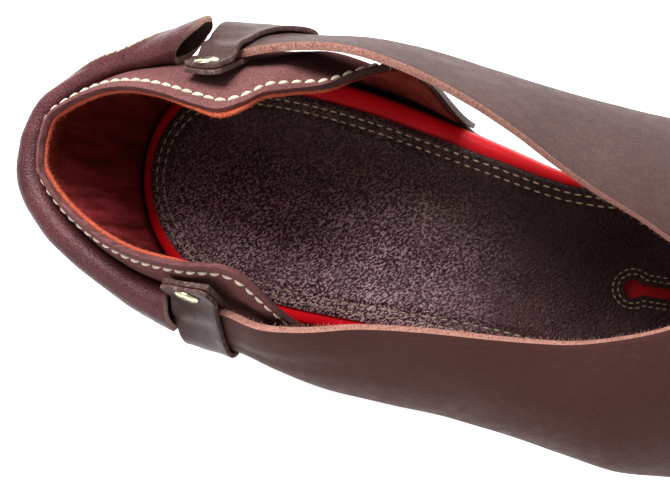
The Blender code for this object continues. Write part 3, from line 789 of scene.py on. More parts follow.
class Finish:
    """A material under construction, on Object coordinates in millimetres."""

    def __init__(self, name, **settings):
        self.material = bpy.data.materials.new(name)
        self.material.use_nodes = True
        self.tree = self.material.node_tree
        self.shader = self.tree.nodes["Principled BSDF"]
        self.set(**settings)
        where = self.tree.nodes.new("ShaderNodeTexCoord")
        self.scaled = self.node("ShaderNodeMapping", Vector=where.outputs["Object"], Scale=(1000, 1000, 1000))

    def set(self, **settings):
        """Sets sockets of the shader, named in small letters with underscores."""
        for socket, value in settings.items():
            self.shader.inputs[socket.replace("_", " ").title().replace("Ior", "IOR")].default_value = value

    def node(self, kind, **inputs):
        """A node whose inputs are set to values or linked from sockets."""
        made = self.tree.nodes.new(kind)
        for name, value in inputs.items():
            self.feed(made.inputs[name.replace("_", " ")], value)
        return made

    def feed(self, socket, value):
        if isinstance(value, bpy.types.NodeSocket):
            self.tree.links.new(value, socket)
        else:
            socket.default_value = value

    def coordinates(self, stretch, turn=0.0):
        """Millimetres, turned about the upright by an angle in degrees and then stretched."""
        spot = self.scaled.outputs["Vector"]
        if turn:
            rotation = (0, 0, math.radians(turn))
            spot = self.node("ShaderNodeMapping", Vector=spot, Rotation=rotation).outputs["Vector"]
        if stretch != (1, 1, 1):
            spot = self.node("ShaderNodeMapping", Vector=spot, Scale=stretch).outputs["Vector"]
        return spot

    def axis(self, name):
        """X, Y or Z in millimetres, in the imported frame."""
        return self.node("ShaderNodeSeparateXYZ", Vector=self.scaled.outputs["Vector"]).outputs[name]

    def noise(self, size, detail=2.0, stretch=(1, 1, 1), turn=0.0):
        """Noise with features of about size millimetres."""
        spot = self.coordinates(stretch, turn)
        return self.node("ShaderNodeTexNoise", Vector=spot, Scale=1 / size, Detail=detail).outputs["Fac"]

    def cells(self, size, stretch=(1, 1, 1)):
        """Distance from the middles of cells of about size millimetres."""
        made = self.node("ShaderNodeTexVoronoi", Vector=self.coordinates(stretch), Scale=1 / size)
        made.feature = "SMOOTH_F1"
        return made.outputs["Distance"]

    def attribute(self, name):
        made = self.tree.nodes.new("ShaderNodeAttribute")
        made.attribute_name = name
        return made.outputs["Fac"]

    def range(self, value, low, high, start=0.0, end=1.0):
        made = self.node("ShaderNodeMapRange", Value=value)
        for name, amount in (("From Min", low), ("From Max", high), ("To Min", start), ("To Max", end)):
            made.inputs[name].default_value = amount
        return made.outputs["Result"]

    def combine(self, first, second, operation="ADD"):
        """Two values put together by one of the Math node's operations."""
        made = self.tree.nodes.new("ShaderNodeMath")
        made.operation = operation
        self.feed(made.inputs[0], first)
        self.feed(made.inputs[1], second)
        return made.outputs["Value"]

    def mix(self, share, first, second):
        """A colour between two: each is a colour of three numbers or a socket."""
        made = self.tree.nodes.new("ShaderNodeMix")
        made.data_type = "RGBA"
        self.feed(made.inputs[0], share)
        for socket, value in ((made.inputs[6], first), (made.inputs[7], second)):
            self.feed(socket, value if isinstance(value, bpy.types.NodeSocket) else (*value, 1.0))
        return made.outputs[2]

    def painted(self):
        """The colour that has been given so far."""
        return self.shader.inputs["Base Color"].links[0].from_socket

    def colour(self, value):
        self.feed(self.shader.inputs["Base Color"], value)

    def roughness(self, value):
        self.feed(self.shader.inputs["Roughness"], value)

    def bump(self, height, depth, strength=1.0):
        """Adds relief of about depth millimetres to what is there."""
        socket = self.shader.inputs["Normal"]
        made = self.node("ShaderNodeBump", Height=height, Distance=depth * MM, Strength=strength)
        if socket.is_linked:
            self.tree.links.new(socket.links[0].from_socket, made.inputs["Normal"])
        self.tree.links.new(made.outputs["Normal"], socket)


def shade(colour, amount):
    """A colour made darker or lighter by a factor."""
    return tuple(min(part * amount, 1.0) for part in colour)


def toned(colour, target, share):
    """A colour moved a share of the way to another."""
    return tuple(a + (b - a) * share for a, b in zip(colour, target))


# Tints that the finishes mix into the leathers' own colours, some of them painted sheen, painted shade,
# painted light and painted glints, and tints of their gloss
GREY_BLOOM_AND_SHEEN = (0.11, 0.10, 0.10)
STRAW = (0.45, 0.36, 0.30)
RUST = (0.22, 0.045, 0.02)
UMBER = (0.060, 0.042, 0.036)
PAINTED_SHADE_OXBLOOD = (0.062, 0.019, 0.015)
BROWN_GLINT = (0.30, 0.19, 0.175)
LILAC_GLINT = (0.50, 0.33, 0.38)
RED_NAP_PAINTED_LIGHT = (0.50, 0.055, 0.075)
RUBBED_RED = (0.6, 0.15, 0.15)
WARM_GLOSS = (0.85, 0.64, 0.60, 1.0)
PURPLE_GLOSS = (0.90, 0.70, 0.74, 1.0)
RED_GLOSS = (1.0, 0.45, 0.45, 1.0)


def smooth_leather(name, colour, dullness):
    """Matt drummed leather: fine pores, a faint speckle and a greyer bloom."""
    made = Finish(name, specular_ior_level=0.26, specular_tint=WARM_GLOSS)
    broad = made.range(made.noise(22, 3), 0.35, 0.65)
    tone = made.mix(broad, shade(colour, 0.8), toned(shade(colour, 1.1), GREY_BLOOM_AND_SHEEN, 0.12))
    speck = made.range(made.noise(0.55, 4), 0.5, 0.72, 0.0, 0.55)
    tone = made.mix(speck, tone, shade(colour, 2.0))
    pores = made.range(made.cells(0.7), 0.0, 0.38, 0.75, 0.0)
    made.colour(made.mix(pores, tone, shade(colour, 0.4)))
    made.roughness(made.range(made.noise(3.0, 2), 0.3, 0.7, dullness - 0.06, dullness + 0.08))
    made.bump(made.noise(5.0, 2), 0.2, 0.35)
    made.bump(made.cells(0.7), 0.13, 0.6)
    made.bump(made.noise(0.4, 3), 0.09, 0.8)
    return made


def vamp_leather():
    """Greyer on the inner side of the foot by painted sheen, redder and darker on the outer side by painted
    shade, drawn out lengthways.
    """
    colour = tuple(colours().vamp)
    made = smooth_leather("vamp_leather", colour, 0.58)
    made.set(specular_ior_level=0.2)
    drawn = made.range(made.noise(1.2, 4, (0.12, 1.0, 1.0)), 0.36, 0.64, 0.0, 0.4)
    tone = made.mix(drawn, made.painted(), shade(colour, 0.5))
    # Painted light: the inner side is mixed towards grey as a painted sheen, and the outer side towards dark
    # oxblood as painted shade, because the light falls from the inner side.
    side = made.range(made.axis("Y"), 22, -14)
    made.colour(made.mix(side, made.mix(0.2, tone, GREY_BLOOM_AND_SHEEN), made.mix(0.65, tone, PAINTED_SHADE_OXBLOOD)))
    return made.material


def raw_leather(name, colour):
    """A cut edge: packed pale fibres, uneven in colour."""
    made = Finish(name, roughness=0.9, specular_ior_level=0.2)
    fibres = made.range(made.noise(0.4, 4), 0.28, 0.72)
    tone = made.mix(fibres, shade(colour, 0.62), shade(colour, 1.2))
    tufts = made.range(made.noise(1.3, 4), 0.52, 0.72, 0.0, 0.5)
    made.colour(made.mix(tufts, tone, toned(tuple(colour), STRAW, 0.55)))
    made.bump(made.noise(0.5, 4), 0.3, 1.0)
    return made.material


def flesh_side(name, colour):
    """Suede: a soft nap with brushed patches."""
    made = Finish(name, roughness=0.95, specular_ior_level=0.15)
    made.set(sheen_weight=0.35, sheen_roughness=0.5, sheen_tint=(*shade(colour, 2.0), 1.0))
    brushed = made.range(made.noise(7.0, 3, (1.0, 1.0, 0.35)), 0.35, 0.68)
    nap = made.range(made.noise(0.5, 3), 0.3, 0.7, 0.0, 0.5)
    tone = made.mix(brushed, shade(colour, 0.62), shade(colour, 1.25))
    made.colour(made.mix(nap, tone, shade(colour, 0.7)))
    made.bump(made.noise(0.45, 3), 0.22, 0.8)
    return made.material


def lining_suede():
    """The lining: its raw edge is orange and soft, and the nap reddens and darkens down inside the counter;
    towards the outer side of the foot the nap is painted brighter and redder, as painted light. Towards the
    front corners the edge is as dark as the rest."""
    raw, deep = tuple(colours().lining_raw), tuple(colours().lining)
    made = Finish("lining_suede", roughness=0.95, specular_ior_level=0.1)
    made.set(sheen_weight=0.12, sheen_roughness=0.5, sheen_tint=(*raw, 1.0))
    ragged = made.combine(made.attribute("depth"), made.range(made.noise(1.1, 4), 0.3, 0.7, -1.3, 1.3))
    brushed = made.range(made.noise(3.2, 3, (1.0, 1.0, 0.16)), 0.36, 0.66)
    low = made.mix(brushed, shade(deep, 0.5), toned(shade(deep, 1.35), RUST, 0.25))
    # Painted light: towards the outer side of the foot the deep nap is mixed to a brighter red, where the
    # light falls inside the counter.
    low = made.mix(made.range(made.axis("Y"), 2, -9, 0.0, 0.9), low, made.mix(brushed, deep, RED_NAP_PAINTED_LIGHT))
    tone = made.mix(made.range(ragged, 4.5, 11.0), toned(deep, raw, 0.45), low)
    tone = made.mix(made.range(ragged, 2.0, 6.0), raw, tone)
    tone = made.mix(made.attribute("front"), tone, made.mix(brushed, deep, toned(deep, RUST, 0.7)))
    nap = made.range(made.noise(0.45, 4), 0.34, 0.66, 0.0, 0.55)
    made.colour(made.mix(nap, tone, shade(deep, 0.8)))
    made.bump(made.noise(0.55, 4), 0.4, 1.0)
    return made.material


def counter_leather():
    """The counter's outside, without gloss, and darkened below the collar by painted shade."""
    colour = colours().counter
    made = smooth_leather("counter_leather", colour, 0.52)
    made.set(specular_ior_level=0.0)
    # Painted shade: below the collar the outside is darkened, standing for the shade under the wings and the
    # roll.
    low = made.range(made.axis("Z"), 82, 70, 0.0, 0.75)
    made.colour(made.mix(low, made.painted(), shade(colour, 0.2)))
    return made.material


def burnished_edge():
    """Rubbed and waxed cut edge: smooth, with darker streaks along it, dark at the front corners."""
    colour = colours().collar_edge
    made = Finish("burnished_edge", specular_ior_level=0.45, specular_tint=WARM_GLOSS)
    streaks = made.range(made.noise(1.6, 3, (0.5, 0.5, 2.5)), 0.35, 0.7)
    tone = made.mix(streaks, shade(colour, 0.6), shade(colour, 1.5))
    made.colour(made.mix(made.range(made.axis("X"), 26, 38, 0.0, 0.85), tone, shade(colour, 0.18)))
    made.roughness(made.range(streaks, 0.0, 1.0, 0.38, 0.52))
    made.bump(made.noise(1.0, 3), 0.12, 0.6)
    return made.material


def sock_leather():
    """Glossy crushed grain: fine pebbles and short slanting streaks, with glints painted into the colour on
    them, brown on the inner side, lilac on the outer side and hardly any towards the toe, where the vamp
    shades the sock."""
    colour = colours().sock
    made = Finish("sock_leather", specular_ior_level=0.3, specular_tint=WARM_GLOSS)
    broad = made.range(made.noise(18, 3), 0.35, 0.68)
    tone = made.mix(broad, shade(colour, 0.65), toned(shade(colour, 1.2), UMBER, 0.25))
    pebbles = made.cells(0.6, (1.0, 0.7, 1.0))
    tone = made.mix(made.range(pebbles, 0.3, 0.7, 0.0, 0.8), tone, shade(colour, 0.3))
    streaks = made.noise(0.45, 3, (0.55, 1.0, 1.0), -40)
    along, across = made.axis("X"), made.axis("Y")
    # Painted highlights: glints are mixed into the colour on the streaks, in broad uneven patches, brown on
    # the inner side and lilac on the outer side, fading out towards the toe.
    wear_and_glint_share = made.range(made.noise(11, 3), 0.3, 0.62, 0.5, 1.0)
    beside = made.range(across, 16, -2, 0.4, 1.0)
    patch = made.combine(beside, made.range(along, 82, 48, 0.04, 1.0), "MULTIPLY")
    patch = made.combine(patch, wear_and_glint_share, "MULTIPLY")
    share = made.combine(patch, made.range(streaks, 0.48, 0.60), "MULTIPLY")
    glint = made.mix(made.range(across, 8, -12), BROWN_GLINT, LILAC_GLINT)
    made.colour(made.mix(share, tone, glint))
    made.roughness(made.range(made.noise(1.0, 3), 0.3, 0.7, 0.18, 0.38))
    made.bump(made.noise(7.0, 3), 0.6, 0.35)
    made.bump(streaks, 0.3, 0.8)
    made.bump(made.combine(pebbles, -1.0, "MULTIPLY"), 0.28, 0.9)
    made.bump(made.noise(0.4, 3), 0.2, 1.0)
    return made.material


def roll_leather():
    """Glossy printed grain: small pebbles with dark joints between them."""
    colour = colours().roll
    made = Finish("roll_leather", specular_ior_level=0.32, specular_tint=PURPLE_GLOSS)
    pebbles = made.cells(0.5)
    broad = made.range(made.noise(16, 3), 0.35, 0.68)
    tone = made.mix(broad, shade(colour, 0.75), shade(colour, 1.3))
    made.colour(made.mix(made.range(pebbles, 0.35, 0.75, 0.0, 0.7), tone, shade(colour, 0.35)))
    made.roughness(made.range(made.noise(1.2, 3), 0.3, 0.7, 0.26, 0.46))
    made.bump(made.combine(pebbles, -1.0, "MULTIPLY"), 0.18, 0.9)
    made.bump(made.noise(0.4, 4), 0.16, 0.9)
    return made.material


def crimson_cover():
    """The footbed's red covering, satin and a little rubbed."""
    colour = colours().rim
    made = Finish("crimson_cover", specular_ior_level=0.4, specular_tint=RED_GLOSS)
    broad = made.range(made.noise(14, 3), 0.3, 0.7)
    tone = made.mix(broad, shade(colour, 0.8), shade(colour, 1.12))
    wear = made.range(made.noise(1.1, 4), 0.62, 0.78, 0.0, 0.25)
    made.colour(made.mix(wear, tone, toned(colour, RUBBED_RED, 0.4)))
    made.roughness(made.range(made.noise(2.5, 3), 0.3, 0.7, 0.38, 0.52))
    made.bump(made.noise(0.8, 3), 0.05, 0.5)
    return made.material


def thread_finish(name, colour, soiled):
    """Waxed thread, soiled in patches: soiled(made) gives the share of further dirt."""
    made = Finish(name, roughness=0.62, specular_ior_level=0.35)
    soil = made.range(made.noise(2.4, 3), 0.35, 0.75)
    tone = made.mix(soil, shade(colour, 1.1), shade(colour, 0.62))
    fine = made.range(made.noise(0.16, 2), 0.4, 0.7, 0.0, 0.4)
    tone = made.mix(fine, tone, shade(colour, 0.55))
    made.colour(made.mix(soiled(made), tone, shade(colour, 0.2)))
    made.bump(made.noise(0.18, 2), 0.04, 0.7)
    return made.material


def collar_thread():
    return thread_finish("collar_thread", colours().thread, lambda made: 0.0)


def sock_thread():
    """Darker thread, darkest with wear on the outer side and round the heel."""
    def wear_and_glint_share(made):
        outer = made.range(made.axis("Y"), 14, -20, 0.0, 0.6)
        heel = made.range(made.axis("X"), 6, -24, 0.0, 0.35)
        return made.combine(outer, heel, "MAXIMUM")

    return thread_finish("sock_thread", colours().sock_thread, wear_and_glint_share)


def brass_finish():
    colour = colours().brass
    made = Finish("pale_brass", metallic=1.0)
    rubbed = made.range(made.noise(0.7, 3), 0.35, 0.7)
    made.colour(made.mix(rubbed, shade(colour, 0.8), colour))
    made.roughness(made.range(rubbed, 0.0, 1.0, 0.18, 0.34))
    made.bump(made.noise(0.5, 2), 0.02, 0.4)
    return made.material


def sole_leather():
    """Dyed sole edges, with the fine lines of the leather's layers."""
    colour = colours().outsole
    made = Finish("sole_leather", specular_ior_level=0.45)
    layers = made.range(made.noise(0.9, 3, (0.12, 0.12, 1.0)), 0.35, 0.68)
    made.colour(made.mix(layers, shade(colour, 0.7), shade(colour, 1.5)))
    made.roughness(made.range(layers, 0.0, 1.0, 0.42, 0.6))
    made.bump(layers, 0.08, 0.6)
    return made.material


# Pieces


def make_outsole():
    lift_lines, heel_shoulder, heel_top = (5.2, 10.0, 14.8), 20.6, 25.7

    def profile(x):
        top = FOOTBED.read("top", x) - FOOTBED_THICK - GAP
        bottom = OUTSOLE.read_straight("bottom", x)
        shelf = SHELF * smooth_step(0.0, 1.0, OUTSOLE.read_straight("shelf", x))
        foot = max(shelf - OUTSOLE.read_straight("taper", x), 0.0)
        heel = 1 - smooth_step(58.0, 62.0, x)
        shoulder = bottom + (top - bottom) * 0.8
        rows = [pair_at(x, max(foot - 0.6, 0.0), bottom, 0.0), pair_at(x, max(foot - 0.6, 0.0), bottom)]
        rows.append(pair_at(x, foot, bottom + min(0.6, (top - bottom) * 0.1)))
        for line in lift_lines:
            level = bottom + (shoulder - bottom) * line / heel_shoulder
            out = foot + (shelf - foot) * line / heel_shoulder
            for rise, cut in ((-0.35, 0.0), (0.0, 0.3), (0.35, 0.0)):
                high = level + rise * (top - bottom) / heel_top
                rows.append(pair_at(x, max(out - cut * heel, 0.0), high))
        rows.append(pair_at(x, shelf, shoulder))
        rows.append(pair_at(x, shelf, top - 0.5))
        rows.append(pair_at(x, max(shelf - 0.5, 0.0), top))
        rows.append(pair_at(x, max(shelf - 0.5, 0.0), top, 0.0))
        return rows

    breast = (58, 60, 61.5, 62.0, 62.5, 64, 66, 68)
    middle = [*np.linspace(33, 56, 9), *breast, *np.linspace(71, 194, 52)]
    made = loft(stations_along(0.0, LENGTH, middle, 26, 28), profile)
    tidy_faces(made)
    piece = add_piece("outsole_leather", made, [sole_leather()], ["outsole"])
    piece.data.set_sharp_from_angle(angle=math.radians(50))


def make_footbed():
    hollow, rim_fall, under_sock = 2.4, 2.2, 0.8

    def profile(x):
        top = FOOTBED.read("top", x)
        bottom = top - FOOTBED_THICK
        rows = [pair_at(x, 0.0, bottom, 0.0), pair_at(x, 0.0, bottom), pair_at(x, 0.0, bottom + 0.6)]
        rows.append(pair_at(x, 0.0, top - rim_fall))
        for turn in range(15, 91, 15):
            inset = RIM_ROUND * (1 - math.cos(math.radians(turn)))
            rows.append(pair_at(x, -inset, top - rim_fall * (1 - math.sin(math.radians(turn)))))
        rows.append(sock_pair(x, top, inside=under_sock))
        rows.append(sock_pair(x, top - hollow, inside=8.0))
        rows.append(sock_pair(x, top - hollow, 0.0, inside=8.0))
        return rows

    made = loft(stations_along(0.0, LENGTH, np.linspace(33, 194, 60), 30, 30), profile)
    tidy_faces(made)
    add_piece("footbed_cover", made, [crimson_cover()], ["footbed"])


def sock_place(x, across):
    """Point of the sock's level top: across runs from its outer edge (-1) to its inner edge (1)."""
    inner, outer = sock_pair(x, FOOTBED.read("top", x) + GAP + SOCK_THICK)
    return outer.lerp(inner, (across + 1) / 2)


def sock_outline():
    """Places round the sock's edge, in the design frame."""
    stations = stations_along(0.0, LENGTH, np.linspace(32, 196, 110), 60, 60)
    outer = [sock_place(x, -1) for x in stations]
    inner = [sock_place(x, 1) for x in reversed(stations)]
    return outer + inner[1:-1]


def from_edge(outline, points):
    """Distance in plan of each point from a closed outline."""
    starts = np.array([p[:2] for p in outline])
    spans = np.roll(starts, -1, axis=0) - starts
    sizes_squared = np.maximum((spans**2).sum(1), 1e-9)
    found = []
    for point in points:
        away = np.array(point[:2]) - starts
        share = np.clip((away * spans).sum(1) / sizes_squared, 0, 1)
        found.append(float(np.sqrt(((away - spans * share[:, None]) ** 2).sum(1).min())))
    return found


def crease(at_x, at_y, fold):
    """Depth of a soft crease at a place beside it, from 0 to 1."""
    turn = math.radians(fold["turn"])
    dx, dy = at_x - fold["x"], at_y - fold["y"]
    along = dx * math.cos(turn) + dy * math.sin(turn)
    across = dy * math.cos(turn) - dx * math.sin(turn)
    across += 1.2 * math.sin(along / fold["long"] * 2.2)
    return bell(along, 0, fold["long"]) * bell(across, 0, fold["wide"])


def sock_relief(x, y, edge):
    """Height of the sock's top over its level, in millimetres, at a distance from its edge."""
    under_heel = 1 - 0.55 * smooth_step(70, 130, x)
    dish = in_mm(sizes().heel_dish) * under_heel
    relief = -dish * smooth_step(5.5, 17.0, edge)
    relief += 0.22 * bell(edge, 6.4, 1.0)
    relief -= 0.5 * bell(edge, 0.0, 0.7)
    first = in_mm(sizes().sock_first_row)
    for row in (first, first + in_mm(sizes().sock_row_gap)):
        relief -= 0.14 * bell(edge, row, 0.5)
    for fold in SOCK_CREASES:
        relief -= fold["deep"] * crease(x, y, fold)
    slot_away = abs(from_slot(x, y))
    for row in SLOT_ROWS:
        relief -= 0.12 * bell(slot_away, row, 0.45)
    return relief + 0.16 * rough(Vector((x, y, 0)) * MM, 9.0)


def from_slot(x, y):
    """Distance in plan from the slot's edge, negative inside."""
    bulb, neck = SLOT["bulb"], SLOT["neck"]
    across = y - SLOT["middle"]
    nearest = min(max(x, SLOT["back"] + bulb), SLOT["front"] - neck)
    return min(math.hypot(x - SLOT["back"] - bulb, across) - bulb, math.hypot(x - nearest, across) - neck)


def sock_top(x, y, outline):
    edge = from_edge(outline, [(x, y)])[0]
    return FOOTBED.read("top", x) + GAP + SOCK_THICK + sock_relief(x, y, edge)


def slot_loop(grow, steps):
    """Places in plan round the keyhole slot, grown by an amount."""
    bulb, neck = SLOT["bulb"] + grow, SLOT["neck"] + grow
    opening = math.asin(neck / bulb)
    arcs = (
        (SLOT["front"] - SLOT["neck"], neck, -math.pi / 2, math.pi / 2),
        (SLOT["back"] + SLOT["bulb"], bulb, opening, 2 * math.pi - opening),
    )
    loop = []
    for centre, radius, start, end in arcs:
        for turn in np.linspace(start, end, steps):
            loop.append((centre + radius * math.cos(turn), SLOT["middle"] + radius * math.sin(turn)))
    return loop


def cut_slot(piece):
    """Cuts the long slot through the sock."""
    made = bmesh.new()
    floor = [made.verts.new(in_row((x, y, 0))) for x, y in slot_loop(0.0, 18)]
    face = made.faces.new(floor)
    pulled = bmesh.ops.extrude_face_region(made, geom=[face])
    raised = [item for item in pulled["geom"] if isinstance(item, bmesh.types.BMVert)]
    bmesh.ops.translate(made, verts=raised, vec=UP * 40 * MM)
    bmesh.ops.recalc_face_normals(made, faces=made.faces)
    mesh = bpy.data.meshes.new("slot_cutter")
    made.to_mesh(mesh)
    made.free()
    cutter = bpy.data.objects.new("slot_cutter", mesh)
    bpy.context.scene.collection.objects.link(cutter)
    cut = piece.modifiers.new("slot", "BOOLEAN")
    cut.operation = "DIFFERENCE"
    cut.solver = "MANIFOLD"
    cut.object = cutter
    keep_modified(piece)
    bpy.data.objects.remove(cutter)
    bpy.data.meshes.remove(mesh)


def keep_modified(piece):
    """Replaces a piece's mesh by what its modifiers make of it."""
    graph = bpy.context.evaluated_depsgraph_get()
    shaped = bpy.data.meshes.new_from_object(piece.evaluated_get(graph))
    old = piece.data
    piece.modifiers.clear()
    piece.data = shaped
    shaped.name = piece.name
    bpy.data.meshes.remove(old)


def make_sock():
    columns, rows = 190, 84
    stations = stations_along(0.0, LENGTH, np.linspace(31, 196, columns - 67), 34, 34)
    outline = sock_outline()

    def place(along, across):
        x = stations[round(along * columns)]
        return sock_place(x, math.sin(math.pi * (across - 0.5)))

    made = grid(columns, rows, place)
    tidy_faces(made, lambda spot: UP)
    spots = [(v.co.x / MM + HEEL_REST, v.co.y / MM) for v in made.verts]
    for corner, spot, edge in zip(made.verts, spots, from_edge(outline, spots)):
        corner.co.z += sock_relief(*spot, edge) * MM
    piece = add_piece("sock", made, [sock_leather()], ["insole"])
    give_wall(piece, SOCK_THICK - 0.1, -1.0)
    cut_slot(piece)
    piece.data.set_sharp_from_angle(angle=math.radians(45))


def counter_share(along):
    """Turn and side at a share of the way from the inner front corner to the outer one."""
    turn = 1 - 2 * along
    return abs(turn), INNER if turn >= 0 else OUTER


def away_from_heel(spot):
    """Way out of the counter, in plan."""
    return Vector((min(spot.x - 0.02, 0.0), spot.y, 0)).normalized()


def collar_relief(depth):
    """Height of the counter's outside near its collar: a soft bead, and a groove under the thread."""
    groove = in_mm(sizes().collar_inset)
    bead = 0.22 * bell(depth, 1.1, 0.9)
    return bead - 0.34 * bell(depth, groove, 0.6) + 0.14 * bell(depth, groove + 1.6, 0.9)


def shell_inside():
    """From the middle of the counter's wall in to where its shell ends and its lining begins."""
    return COUNTER_WALL / 2 - in_mm(sizes().lining_thick)


def make_counter():
    columns, rows, closeness = 230, 46, 1.7

    def shell(along, across):
        turn, side = counter_share(along)
        return counter_point(turn, side, 1 - (1 - across) ** closeness)

    made = grid(columns, rows, shell)
    tidy_faces(made, away_from_heel)
    tops = {}

    def shell_lift(along, across, spot):
        column = round(along * columns)
        if column not in tops:
            tops[column] = in_row(counter_point(*counter_share(along), 1.0))
        depth = (spot - tops[column]).length / MM
        middle = in_mm(sizes().lining_thick) / 2
        return middle + collar_relief(depth) + 0.12 * rough(spot, 14.0, 3.0)

    push_out(made, shell_lift)
    flesh = flesh_side("counter_flesh", shade(colours().counter, 0.35))
    finishes = [counter_leather(), flesh, burnished_edge()]
    piece = add_piece("counter_shell", made, finishes, ["counter"])
    give_wall(piece, COUNTER_WALL - in_mm(sizes().lining_thick), 0.0, 1, 2)
    round_edges(piece, 0.62, 4)


def lining_front(turn, side):
    """How far the lining's edge has sunk behind the collar, towards a front corner."""
    return smooth_step(0.80, 0.87, turn) if side == INNER else smooth_step(0.50, 0.58, turn)


def lining_section(turn, side, fullness):
    """Closed section of the lining, up its outer face, round its swollen raw edge and down its inner
    face: each place comes with its depth under that edge."""
    faces, foot, swelling = 26, 2.4, 0.75
    base_x = COUNTER.read("base", turn)
    flank = bell(turn, 0.64, 0.13) if side == INNER else 0.0
    front = lining_front(turn, side)
    swelling *= 1 - front
    drop = in_mm(sizes().lining_drop) * (1 - flank) - 0.8 * flank + 1.6 * front
    low = counter_at_height(turn, side, FOOTBED.read("top", base_x) - foot)
    high = counter_depth(turn, side, drop)
    top = counter_point(turn, side, high)
    thick = in_mm(sizes().lining_thick)
    outer_face, inner_face = [], []
    for i in range(faces + 1):
        t = low + (high - low) * (1 - (1 - i / faces) ** 1.9)
        middle = counter_point(turn, side, t)
        normal = counter_normal(turn, side, min(t, 1.0))
        depth = (top - middle).length
        nap = 0.16 * rough(in_row(middle), 1.3, 5.0) * bell(depth, 0.6, 1.8)
        full = (thick + swelling * bell(depth, 0.7, 1.2) + nap) * fullness
        outer_face.append((middle - normal * (shell_inside() + 0.02), depth))
        inner_face.append((middle - normal * (shell_inside() + 0.02 + full), depth))
    crown = []
    edge_way = (outer_face[-1][0] - outer_face[-2][0]).normalized()
    for share, rise in ((0.25, 0.32), (0.5, 0.42), (0.75, 0.32)):
        across = outer_face[-1][0].lerp(inner_face[-1][0], share)
        crown.append((across + edge_way * rise * fullness, 0.0))
    return [*outer_face, *crown, *reversed(inner_face)]


def make_lining():
    columns, ends = 230, 0.016
    sections = []
    for i in range(columns + 1):
        turn, side = counter_share(ends + (1 - 2 * ends) * i / columns)
        sections.append(lining_section(turn, side, 0.0 if i in (0, columns) else 1.0))
    around = len(sections[0])

    def spot(along, across):
        return sections[round(along * columns)][round(across * around) % around]

    made = grid(columns, around, lambda along, across: spot(along, across)[0])
    along_layer = made.verts.layers.float["along"]
    across_layer = made.verts.layers.float["across"]
    depth_layer = made.verts.layers.float.new("depth")
    front_layer = made.verts.layers.float.new("front")
    for corner in made.verts:
        corner[depth_layer] = spot(corner[along_layer], corner[across_layer])[1]
        turn, side = counter_share(ends + (1 - 2 * ends) * corner[along_layer])
        corner[front_layer] = lining_front(turn, side)
    tidy_faces(made)
    add_piece("counter_lining", made, [lining_suede()])


def roll_seam(share):
    """Turn round the roll of its seam, in degrees up from its outer side."""
    return -40 + 78 * bell(share, 0.64, 0.22)


def make_roll():
    columns, around = 160, 54

    def place(along, across):
        turn = 2 * math.pi * (round(across * around) % around) / around
        return roll_point(2 * along - 1, turn, ROLL_WALL / 2)

    def lift(along, across, spot):
        share = 2 * along - 1
        over_seam = (math.degrees(2 * math.pi * across) - roll_seam(share) + 180) % 360 - 180
        flap = 0.75 * smooth_step(-16, -9, over_seam) * (1 - smooth_step(-4, 46, over_seam))
        mouth = smooth_step(0.82, 1.0, abs(share))
        uneven = 0.12 * rough(spot, 7.0, 1.0) + 0.3 * mouth * rough(spot, 3.2, 8.0)
        return flap * (1 - mouth) + uneven

    made = grid(columns, around, place)
    middles = [in_row(roll_ring(2 * i / columns - 1)[0]) for i in range(columns + 1)]

    def outward(spot):
        nearest = min(middles, key=lambda middle: (middle - spot).length_squared)
        return spot - nearest

    tidy_faces(made, outward)
    push_out(made, lift)
    finishes = [
        roll_leather(),
        flesh_side("roll_flesh", shade(colours().roll_raw, 0.22)),
        raw_leather("roll_edge", colours().roll_raw),
    ]
    piece = add_piece("roll_leather", made, finishes, ["heel_roll"])
    give_wall(piece, ROLL_WALL, 0.0, 1, 2)
    round_edges(piece, 0.4, 2)


def vamp_stations(side, wing, closing, front):
    first = WING_START[side]
    back = np.linspace(first, 128.0, wing)
    round_end = THROAT_APEX - (THROAT_APEX - 130.0) * np.linspace(1, 0, closing) ** 2
    ahead = np.linspace(THROAT_APEX, VAMP_FRONT, front)[1:]
    return [*back, *round_end, *ahead]


def vamp_swept(side, x, t):
    """Point of the vamp, with its front edge swept forward or back towards the sole."""
    forward = max(x - THROAT_APEX, 0.0) / (VAMP_FRONT - THROAT_APEX)
    return vamp_point(side, x + FRONT_SWEEP[side] * forward**2 * (1 - t), t)


def over_foot(spot):
    """Way out of the vamp, from a line along the middle of the foot."""
    return Vector((0, spot.y + 0.005, spot.z - 0.03)).normalized()


def make_vamp():
    rows, span = 34, 42.0
    halves = []
    for side in (INNER, OUTER):
        stations = vamp_stations(side, 66, 30, 26)
        last = len(stations) - 1

        def lift(along, across, spot, side=side, stations=stations):
            x = stations[round(along * last)]
            move = 0.14 * rough(spot, 26.0, 2.0) + 0.05 * rough(spot, 6.0, 4.0)
            for fold in VAMP_CREASES:
                if fold["side"] == side:
                    line = {**fold, "y": 0.0, "turn": fold["slant"]}
                    move -= fold["deep"] * crease(x, (across - fold["t"]) * span, line)
            return move

        def place(along, across, side=side, stations=stations):
            return vamp_swept(side, stations[round(along * last)], across)

        half = grid(last, rows, place)
        tidy_faces(half, over_foot)
        push_out(half, lift)
        halves.append(half)
    made = join_meshes(halves)
    tidy_faces(made, over_foot)
    flesh = flesh_side("vamp_flesh", shade(colours().vamp_raw, 0.45))
    finishes = [vamp_leather(), flesh, raw_leather("vamp_edge", colours().vamp_raw)]
    piece = add_piece("vamp_leather", made, finishes, ["vamp"])
    give_wall(piece, VAMP_WALL, 0.0, 1, 2)
    round_edges(piece, 0.3, 2)


